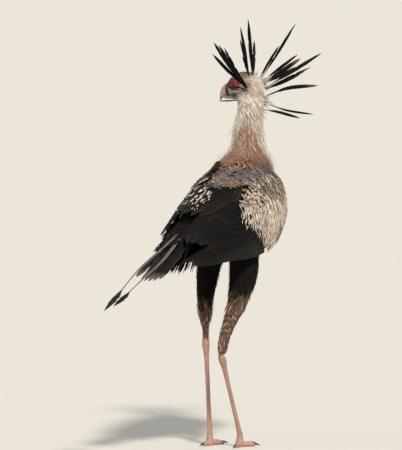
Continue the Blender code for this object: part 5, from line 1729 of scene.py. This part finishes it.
# Bill, eyes, claws.
def bill_half(name, sections, tip):
    """One half of the bill, smooth."""
    rings = []
    rows = 46
    for r in range(rows):
        top_x, top_z, low_x, low_z, half_width = spline(sections, r / (rows - 1))
        top = Vector((top_x, 0, top_z))
        low = Vector((low_x, 0, low_z))
        across = Vector((0, max(half_width, 0.0003), 0))
        rings.append(oval((top + low) / 2, across, (top - low) / 2, 40, 2.3))
    return loft(name, rings, None, Vector((tip[0], 0, tip[1])))


# The bill's ridge in the head frame: places along it and their heights.
RIDGE_X = (0.036, 0.051, 0.060, 0.068, 0.0745, 0.0785)
RIDGE_Z = (0.016, 0.0145, 0.010, 0.002, -0.008, -0.024)


def bill_colours(points, upper):
    """Horn colours in the head frame: pale pinkish sides, dark ridge, tip and cutting edge."""
    x, _, z = points.T
    side = srgb(196, 160, 150)
    base = srgb(150, 120, 122)
    dark = srgb(58, 50, 54)
    colour = mix(np.tile(side, (len(points), 1)), base, smooth(0.050 - x, 0.0, 0.010) * 0.7)
    if upper:
        ridge = np.interp(x, RIDGE_X, RIDGE_Z)
        colour = mix(colour, dark, smooth(z - ridge, -0.0065, -0.0015) * 0.85)
        colour = mix(colour, dark, smooth(-z, 0.018, 0.032) * smooth(x, 0.064, 0.072) * 0.8)
        low = smooth(-z, 0.017, 0.0215) * smooth(0.066 - x, 0, 0.01)
        colour = mix(colour, srgb(120, 96, 96), low * 0.5)
    else:
        colour = mix(colour, srgb(120, 104, 104), smooth(-z, 0.024, 0.032) * 0.7)
    return colour


def bill():
    """Both halves of the bill with nostrils and the mouth line between them."""
    upper = bill_half("bill_upper_horn", BILL_UPPER, (0.0770, -0.0405))
    lower = bill_half("bill_lower_horn", BILL_LOWER, (0.0685, -0.0290))
    wider = [(a + 0.0004, b, c, d - 0.0005, e + 0.0004) for a, b, c, d, e in BILL_UPPER]
    cutter = bill_half("cutter", wider, (0.0770, -0.0410))
    boolean(lower, [cutter], "DIFFERENCE")
    holes = []
    for side in (1, -1):
        rings = []
        for r in range(1, 12):
            angle = math.pi * r / 12
            level = Vector((-math.cos(angle), 0, 0))
            rings.append(oval(level, Vector((0, math.sin(angle), 0)), Vector((0, 0, math.sin(angle))), 20))
        hole = loft("hole", rings, Vector((-1, 0, 0)), Vector((1, 0, 0)))
        hole.data.transform(Matrix.Diagonal((*NOSTRIL_SIZE, 1.0)))
        hole.data.transform(Matrix.Rotation(math.radians(28), 4, "Y"))
        x, y, z = NOSTRIL_AT
        hole.data.transform(Matrix.Translation((x, side * y, z)))
        holes.append(hole)
    boolean(upper, holes, "DIFFERENCE")
    for obj, is_upper in ((upper, True), (lower, False)):
        points = np.array([tuple(v.co) for v in obj.data.vertices])
        write_colour(obj.data, "core", bill_colours(points, is_upper))
        obj.data.transform(HEAD)
        obj.data.shade_smooth()
        obj.data.set_sharp_from_angle(angle=math.radians(50))
    return upper, lower


def eye(side):
    """One eyeball, its iris and pupil coloured by the angle from the line of sight."""
    centre, outward, ahead, up = eye_frame(side)
    rings = []
    rows = 30
    for r in range(1, rows):
        angle = math.pi * r / rows
        bulge = 1.0 + 0.05 * math.exp(-(angle / 0.45) ** 2)
        level = centre + outward * (EYE_RADIUS * math.cos(angle) * bulge)
        reach = EYE_RADIUS * math.sin(angle)
        rings.append(oval(level, ahead * reach, up * reach, 48))
    body = loft("eye", rings, centre + outward * EYE_RADIUS * 1.05, centre - outward * EYE_RADIUS)
    points = np.array([tuple(v.co) for v in body.data.vertices]) - np.array(centre)
    cosine = points @ np.array(outward) / np.maximum(np.linalg.norm(points, axis=1), 1e-9)
    angle = np.degrees(np.arccos(np.clip(cosine, -1, 1)))
    iris = mix(srgb(104, 60, 32), srgb(60, 34, 20), smooth(angle, 22, 36))
    colour = mix(np.tile(srgb(8, 6, 6), (len(points), 1)), iris, smooth(angle, 17, 19))
    colour = mix(colour, srgb(24, 14, 12), smooth(angle, 35, 39))
    write_colour(body.data, "core", colour)
    body.data.shade_smooth()
    return body


def lashes():
    """Stiff black lashes along the upper lids."""
    bodies = Coat("lashes")
    points, normals, widths = [], [], []
    for side in (1, -1):
        centre, outward, ahead, up = eye_frame(side)
        for k in range(16):
            a = math.radians(-62 + 124 * k / 15)
            height = LID_UPPER * (1 - abs(math.sin(a)) ** 3) + 0.05
            reach = math.sqrt(1 - height * height)
            spoke = outward * (reach * math.cos(a)) + ahead * (reach * math.sin(a)) + up * height
            root = centre + spoke * (EYE_RADIUS + 0.0014)
            run = (spoke + up * 0.25 + ahead * 0.1).normalized()
            length = 0.0045 + 0.0025 * math.cos(a)
            end = root + run * length + up * 0.0012
            points.append([root - run * 0.001, root + run * length * 0.5, end])
            normals.append([up] * 3)
            widths.append(0.00035)
    count = len(points)
    points = np.array([[tuple(p) for p in row] for row in points])
    normals = np.array([[tuple(p) for p in row] for row in normals])
    dark = np.tile(BLACK, (count, 1))
    bodies.add(points, normals, np.array(widths), LANCE, np.full(count, 0.0004), 0.0, dark, dark,
               np.ones(count), np.zeros((count, 2)) + 0.5)
    return bodies


# Claws: how far they start inside the toe, their share of its thickness, taper and tip, and the
# height at which they start, arch and drop.
CLAW_ROOT = 0.007
CLAW_SHARE = 0.62
CLAW_TAPER = 0.75
CLAW_TIP = 0.0004
CLAW_LEVEL = 0.0072
CLAW_ARCH = 0.0012
CLAW_DROP = 0.0052
CLAW_LEAN = 0.45


def claw(side, index):
    """One curved claw, ridged above."""
    length = TOES[index][1]
    radius = TOES[index][3] * CLAW_SHARE
    root, along, across = toe_frame(side, index)
    reach = CLAW_LENGTHS[index]
    rings = []
    rows = 26
    for k in range(rows):
        t = k / (rows - 1)
        centre = root + along * (length - CLAW_ROOT + (reach + CLAW_ROOT) * t)
        size = radius * (1 - t) ** CLAW_TAPER + CLAW_TIP
        centre.z = CLAW_LEVEL + CLAW_ARCH * math.sin(t * math.pi) - CLAW_DROP * t * t
        up = (Vector((0, 0, 1)) + along * CLAW_LEAN * t).normalized()
        ring = []
        for j in range(20):
            angle = 2 * math.pi * j / 20
            c = math.cos(angle)
            s = math.sin(angle)
            ridge = 1.0 + 0.10 * max(s, 0) ** 4
            point = centre + across * (c * size * 0.8) + up * (s * size * ridge)
            point.z = max(point.z, 0.0003)
            ring.append(point)
        rings.append(ring)
    body = loft("claw", rings)
    body.data.shade_smooth()
    return body


# Materials.
def attribute(tree, name):
    """A node that reads a mesh attribute."""
    made = tree.nodes.new("ShaderNodeAttribute")
    made.attribute_name = name
    return made


def maths(tree, operation, a, b=None):
    """The output of one math node."""
    made = tree.nodes.new("ShaderNodeMath")
    made.operation = operation
    for k, value in enumerate((a, b)):
        if value is None:
            continue
        if isinstance(value, (int, float)):
            made.inputs[k].default_value = value
        else:
            tree.links.new(value, made.inputs[k])
    return made.outputs[0]


def step(tree, value, low, high, start=0.0, end=1.0):
    """A soft step of a value between two limits."""
    made = tree.nodes.new("ShaderNodeMapRange")
    made.interpolation_type = "SMOOTHSTEP"
    made.inputs["From Min"].default_value = low
    made.inputs["From Max"].default_value = high
    made.inputs["To Min"].default_value = start
    made.inputs["To Max"].default_value = end
    tree.links.new(value, made.inputs["Value"])
    return made.outputs["Result"]


def blend(tree, factor, a, b):
    """The output of a colour mix; a and b are sockets or colours."""
    made = tree.nodes.new("ShaderNodeMix")
    made.data_type = "RGBA"
    for socket, value in ((made.inputs["Factor"], factor), (made.inputs[6], a), (made.inputs[7], b)):
        if isinstance(value, (int, float)):
            socket.default_value = value
        elif isinstance(value, (tuple, list, np.ndarray)):
            socket.default_value = (*[float(v) for v in value[:3]], 1.0)
        else:
            tree.links.new(value, socket)
    return made.outputs[2]


def noise(tree, scale, detail=3.0):
    """The output of a noise texture in object space."""
    made = tree.nodes.new("ShaderNodeTexNoise")
    made.inputs["Scale"].default_value = scale
    made.inputs["Detail"].default_value = detail
    source = tree.nodes.new("ShaderNodeTexCoord").outputs["Object"]
    tree.links.new(source, made.inputs["Vector"])
    return made.outputs["Fac"]


def components(tree, name):
    """The three parts of a vector attribute."""
    split = tree.nodes.new("ShaderNodeSeparateXYZ")
    tree.links.new(attribute(tree, name).outputs["Vector"], split.inputs[0])
    return split.outputs["X"], split.outputs["Y"], split.outputs["Z"]


def scaled(tree, vector, factor):
    """A vector times a value."""
    made = tree.nodes.new("ShaderNodeVectorMath")
    made.operation = "SCALE"
    tree.links.new(vector, made.inputs[0])
    tree.links.new(factor, made.inputs["Scale"])
    return made.outputs[0]


def new_material(name, roughness, sheen=0.0, coat=0.0, gloss=0.35):
    """A material with its shader's plain values set."""
    material = bpy.data.materials.new(name)
    material.use_nodes = True
    shader = material.node_tree.nodes["Principled BSDF"]
    shader.inputs["Roughness"].default_value = roughness
    shader.inputs["Sheen Weight"].default_value = sheen
    shader.inputs["Sheen Roughness"].default_value = 0.5
    shader.inputs["Coat Weight"].default_value = coat
    shader.inputs["Coat Roughness"].default_value = 0.05
    shader.inputs["Specular IOR Level"].default_value = gloss
    return material, material.node_tree, shader


def bump(tree, shader, height, strength, distance):
    """A bump from a height socket."""
    made = tree.nodes.new("ShaderNodeBump")
    made.inputs["Strength"].default_value = strength
    made.inputs["Distance"].default_value = distance
    tree.links.new(height, made.inputs["Height"])
    tree.links.new(made.outputs["Normal"], shader.inputs["Normal"])


# Barbs as radians per metre along and across a feather.
BARBS_ALONG = 4200.0
BARBS_ACROSS = -5200.0


def plumage(name, roughness, sheen, fringe_start):
    """Feathers: a fringe at the rim, a shaft line, fine barbs and a little unevenness."""
    material, tree, shader = new_material(name, roughness, sheen, gloss=0.10)
    core = attribute(tree, "core").outputs["Color"]
    rim = attribute(tree, "rim").outputs["Color"]
    along, across, shaft = components(tree, "vane")
    length, width, _ = components(tree, "span")
    across = maths(tree, "ABSOLUTE", across)
    ragged = maths(tree, "MULTIPLY", maths(tree, "SUBTRACT", noise(tree, 420.0), 0.5), 0.5)
    edge = maths(tree, "ADD", across, ragged)
    mask = maths(tree, "MAXIMUM", step(tree, edge, fringe_start, fringe_start + 0.22),
                 step(tree, along, 0.86, 0.97))
    colour = blend(tree, mask, core, rim)
    line = step(tree, across, 0.04, 0.16, 1.0, 0.0)
    tone = maths(tree, "MULTIPLY", maths(tree, "SUBTRACT", shaft, 1.0), line)
    tinted = scaled(tree, colour, maths(tree, "ADD", tone, 1.0))
    barb = maths(tree, "ADD", maths(tree, "MULTIPLY", length, BARBS_ALONG),
                 maths(tree, "MULTIPLY", width, BARBS_ACROSS))
    barb = maths(tree, "SINE", barb)
    clump = noise(tree, 260.0)
    depth = maths(tree, "ADD", maths(tree, "MULTIPLY", barb, 0.07),
                  maths(tree, "MULTIPLY", maths(tree, "SUBTRACT", clump, 0.5), 0.55))
    final = scaled(tree, tinted, maths(tree, "ADD", depth, 1.0))
    tree.links.new(final, shader.inputs["Base Color"])
    dull = step(tree, clump, 0.3, 0.7, roughness - 0.08, roughness + 0.08)
    tree.links.new(dull, shader.inputs["Roughness"])
    bump(tree, shader, barb, 0.25, 0.0002)
    return material


def central_material():
    """The long tail feathers: pale grey brown with a black band before the tip."""
    material = plumage("tail_long", 0.55, 0.05, 0.75)
    tree = material.node_tree
    shader = tree.nodes["Principled BSDF"]
    source = shader.inputs["Base Color"].links[0].from_socket
    band = step(tree, components(tree, "vane")[0], 0.715, 0.745)
    tree.links.new(blend(tree, band, source, BLACK * 0.9), shader.inputs["Base Color"])
    return material


def skin_material():
    """Bare and feathered skin: fine wrinkles over the markings."""
    material, tree, shader = new_material("skin", 0.62)
    core = attribute(tree, "core").outputs["Color"]
    fine = noise(tree, 900.0, 4.0)
    wide = noise(tree, 120.0)
    colour = blend(tree, step(tree, wide, 0.3, 0.7, 0.0, 0.35), core, (0.08, 0.03, 0.03))
    tree.links.new(colour, shader.inputs["Base Color"])
    bump(tree, shader, fine, 0.5, 0.0004)
    return material


def leg_material():
    """Scaly legs: plates of pinkish horn with darker seams and a dusty bloom."""
    material, tree, shader = new_material("leg_scales", 0.55)
    source = tree.nodes.new("ShaderNodeTexCoord").outputs["Object"]
    cells = tree.nodes.new("ShaderNodeTexVoronoi")
    cells.feature = "DISTANCE_TO_EDGE"
    cells.inputs["Scale"].default_value = 460.0
    squeeze = tree.nodes.new("ShaderNodeVectorMath")
    squeeze.operation = "MULTIPLY"
    squeeze.inputs[1].default_value = (0.85, 0.85, 1.7)
    tree.links.new(source, squeeze.inputs[0])
    tree.links.new(squeeze.outputs[0], cells.inputs["Vector"])
    seam = step(tree, cells.outputs["Distance"], 0.01, 0.09)
    core = attribute(tree, "core").outputs["Color"]
    wide = noise(tree, 60.0, 4.0)
    tone = blend(tree, step(tree, wide, 0.35, 0.7, 0.0, 0.5), core, srgb(150, 112, 98))
    tone = blend(tree, step(tree, noise(tree, 300.0), 0.5, 0.75, 0.0, 0.4), tone, srgb(220, 196, 178))
    colour = blend(tree, seam, srgb(164, 126, 110), tone)
    tree.links.new(colour, shader.inputs["Base Color"])
    tree.links.new(step(tree, wide, 0.3, 0.7, 0.45, 0.68), shader.inputs["Roughness"])
    bump(tree, shader, seam, 0.7, 0.0005)
    return material


def horn_material(name, roughness, own=None):
    """Horn with fine growth lines."""
    material, tree, shader = new_material(name, roughness, 0.0, 0.25)
    shader.inputs["Coat Roughness"].default_value = 0.25
    core = attribute(tree, "core").outputs["Color"] if own is None else own
    grain = noise(tree, 520.0, 5.0)
    wide = noise(tree, 90.0, 3.0)
    colour = blend(tree, step(tree, wide, 0.35, 0.75, 0.0, 0.3), core, (0.10, 0.07, 0.07))
    colour = blend(tree, step(tree, grain, 0.45, 0.8, 0.0, 0.25), colour, (0.75, 0.62, 0.55))
    tree.links.new(colour, shader.inputs["Base Color"])
    dull = step(tree, grain, 0.3, 0.7, roughness - 0.08, roughness + 0.1)
    tree.links.new(dull, shader.inputs["Roughness"])
    bump(tree, shader, grain, 0.25, 0.0002)
    return material


def eye_material():
    """Wet eye with fine spokes in the iris."""
    material, tree, shader = new_material("eye_wet", 0.08, 0.0, 1.0)
    shader.inputs["Coat Roughness"].default_value = 0.02
    core = attribute(tree, "core").outputs["Color"]
    fine = noise(tree, 2600.0)
    colour = blend(tree, step(tree, fine, 0.4, 0.7, 0.0, 0.4), core, (0.02, 0.01, 0.008))
    tree.links.new(colour, shader.inputs["Base Color"])
    return material


def floor_material():
    """Plain pale floor."""
    material, tree, shader = new_material("floor", 0.9)
    wide = noise(tree, 1.5)
    tree.links.new(blend(tree, wide, srgb(206, 202, 192), srgb(212, 208, 198)), shader.inputs["Base Color"])
    return material


# Light, floor and camera.
FLOOR_HALF = 90
WORLD_STRENGTH = 0.40


def studio():
    """Floor, soft lights and the photo's camera."""
    mesh = bpy.data.meshes.new("floor")
    wide = FLOOR_HALF
    corners = [(-wide, -wide, 0), (wide, -wide, 0), (wide, wide, 0), (-wide, wide, 0)]
    mesh.from_pydata(corners, [], [(0, 1, 2, 3)])
    floor = bpy.data.objects.new("floor", mesh)
    mesh.materials.append(floor_material())
    bpy.context.scene.collection.objects.link(floor)
    world = bpy.data.worlds.new("studio")
    bpy.context.scene.world = world
    world.use_nodes = True
    background = world.node_tree.nodes["Background"]
    background.inputs["Color"].default_value = (0.93, 0.95, 1.0, 1.0)
    background.inputs["Strength"].default_value = WORLD_STRENGTH
    for name, right, ahead, height, energy, angle, colour in (
        ("key", 0.35, -1.0, 1.25, 3.1, 8.0, (1.0, 0.96, 0.90)),
        ("fill", -1.0, -0.6, 0.8, 0.35, 40.0, (0.95, 0.97, 1.0)),
        ("back", 0.3, 1.0, 1.1, 0.6, 30.0, (1.0, 0.98, 0.94)),
    ):
        lamp = bpy.data.lights.new(name, "SUN")
        lamp.energy = energy
        lamp.angle = math.radians(angle)
        lamp.color = colour
        obj = bpy.data.objects.new(name, lamp)
        place = VIEW_RIGHT * right + VIEW_AHEAD * ahead + Vector((0, 0, height))
        obj.location = place * 4
        obj.rotation_euler = place.to_track_quat("Z", "Y").to_euler()
        bpy.context.scene.collection.objects.link(obj)
    camera = bpy.data.cameras.new("camera")
    camera.lens = VIEW_LENS
    camera.sensor_width = VIEW_SENSOR
    camera.clip_end = 300.0
    obj = bpy.data.objects.new("camera", camera)
    aim = view_point(*VIEW_AIM) + SHIFT
    back = Vector((-VIEW_AHEAD.x, -VIEW_AHEAD.y, 0)).normalized() * math.cos(VIEW_TILT)
    back.z = math.sin(VIEW_TILT)
    obj.location = aim + back * VIEW_DISTANCE
    obj.rotation_euler = back.to_track_quat("Z", "Y").to_euler()
    bpy.context.scene.collection.objects.link(obj)
    bpy.context.scene.camera = obj
    settings = bpy.context.scene.view_settings
    settings.view_transform = "Standard"
    settings.look = "None"


def show(obj, name, nodes=(), material=None):
    """Move a finished piece into the frame and let it stand for its nodes."""
    obj.name = name
    obj.data.name = name
    obj.data.transform(Matrix.Translation(SHIFT))
    if material is not None:
        obj.data.materials.clear()
        obj.data.materials.append(material)
    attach(obj, "root")
    if nodes:
        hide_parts(*nodes)
    return obj


def paint_skin(skin):
    """Write the skin's colours and give its legs their own material."""
    points = np.array([tuple(v.co) for v in skin.data.vertices])
    colour, leg = skin_colours(points, wing_places(points))
    write_colour(skin.data, "core", colour)
    skin.data.materials.clear()
    skin.data.materials.append(skin_material())
    skin.data.materials.append(leg_material())
    index = np.zeros(len(skin.data.polygons), np.int32)
    for k, polygon in enumerate(skin.data.polygons):
        if leg[polygon.vertices[0]] > 0.5:
            index[k] = 1
    skin.data.polygons.foreach_set("material_index", index)
    skin.data.shade_smooth()
    skin.data.set_sharp_from_angle(angle=math.radians(70))


def main():
    """Dress the bird."""
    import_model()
    studio()
    skin = skin_body()
    unwrap(skin)
    paint_skin(skin)
    surface = Surface(skin)
    soft = plumage("plumage_soft", 0.75, 0.04, 0.66)
    scaly = plumage("plumage_scaled", 0.65, 0.03, 0.76)
    firm = plumage("plumage_firm", 0.50, 0.01, 0.80)
    coats = small_feathers(surface)
    for k, (region, coat) in enumerate(coats.items()):
        show(build_coat(coat, scaly if region == MANTLE else soft, 50 + k), coat.name)
    for side, label in ((1, "left"), (-1, "right")):
        coat = large_coat("wing_feathers_" + label, wing_feathers(side), surface)
        show(build_coat(coat, firm, 70 + side), coat.name, ["wing_" + label])
    coat = large_coat("crest", crest_feathers() + nape_plumes(), surface)
    show(build_coat(coat, firm, 80), coat.name)
    feathers = tail_feathers()
    first = len(LATERALS)
    last = first + len(CENTRAL_PATHS)
    coat = large_coat("tail_feathers", feathers[:first] + feathers[last:] + vent_feathers(), surface)
    show(build_coat(coat, firm, 81), coat.name, ["tail"])
    coat = large_coat("tail_long_feathers", feathers[first:last], surface)
    show(build_coat(coat, central_material(), 82), coat.name)
    show(build_coat(lashes(), firm, 83), "lashes")
    upper, lower = bill()
    horn = horn_material("bill_horn_fine", 0.38)
    show(upper, "bill_upper_horn", ["bill_upper"], horn)
    show(lower, "bill_lower_horn", ["bill_lower"], horn)
    wet = eye_material()
    dark_horn = horn_material("claw_horn_fine", 0.35, srgb(52, 44, 40))
    for side, label in ((1, "left"), (-1, "right")):
        show(eye(side), "eyeball_" + label, ["eye_" + label], wet)
        for k in range(len(TOES)):
            name = "claw_" + label + "_" + str(k + 1)
            show(claw(side, k), name + "_horn", [name], dark_horn)
    nodes = ["torso", "neck", "head"]
    for label in ("left", "right"):
        nodes += ["thigh_" + label, "tarsus_" + label, "foot_" + label]
    show(skin, "skin", nodes)


main()
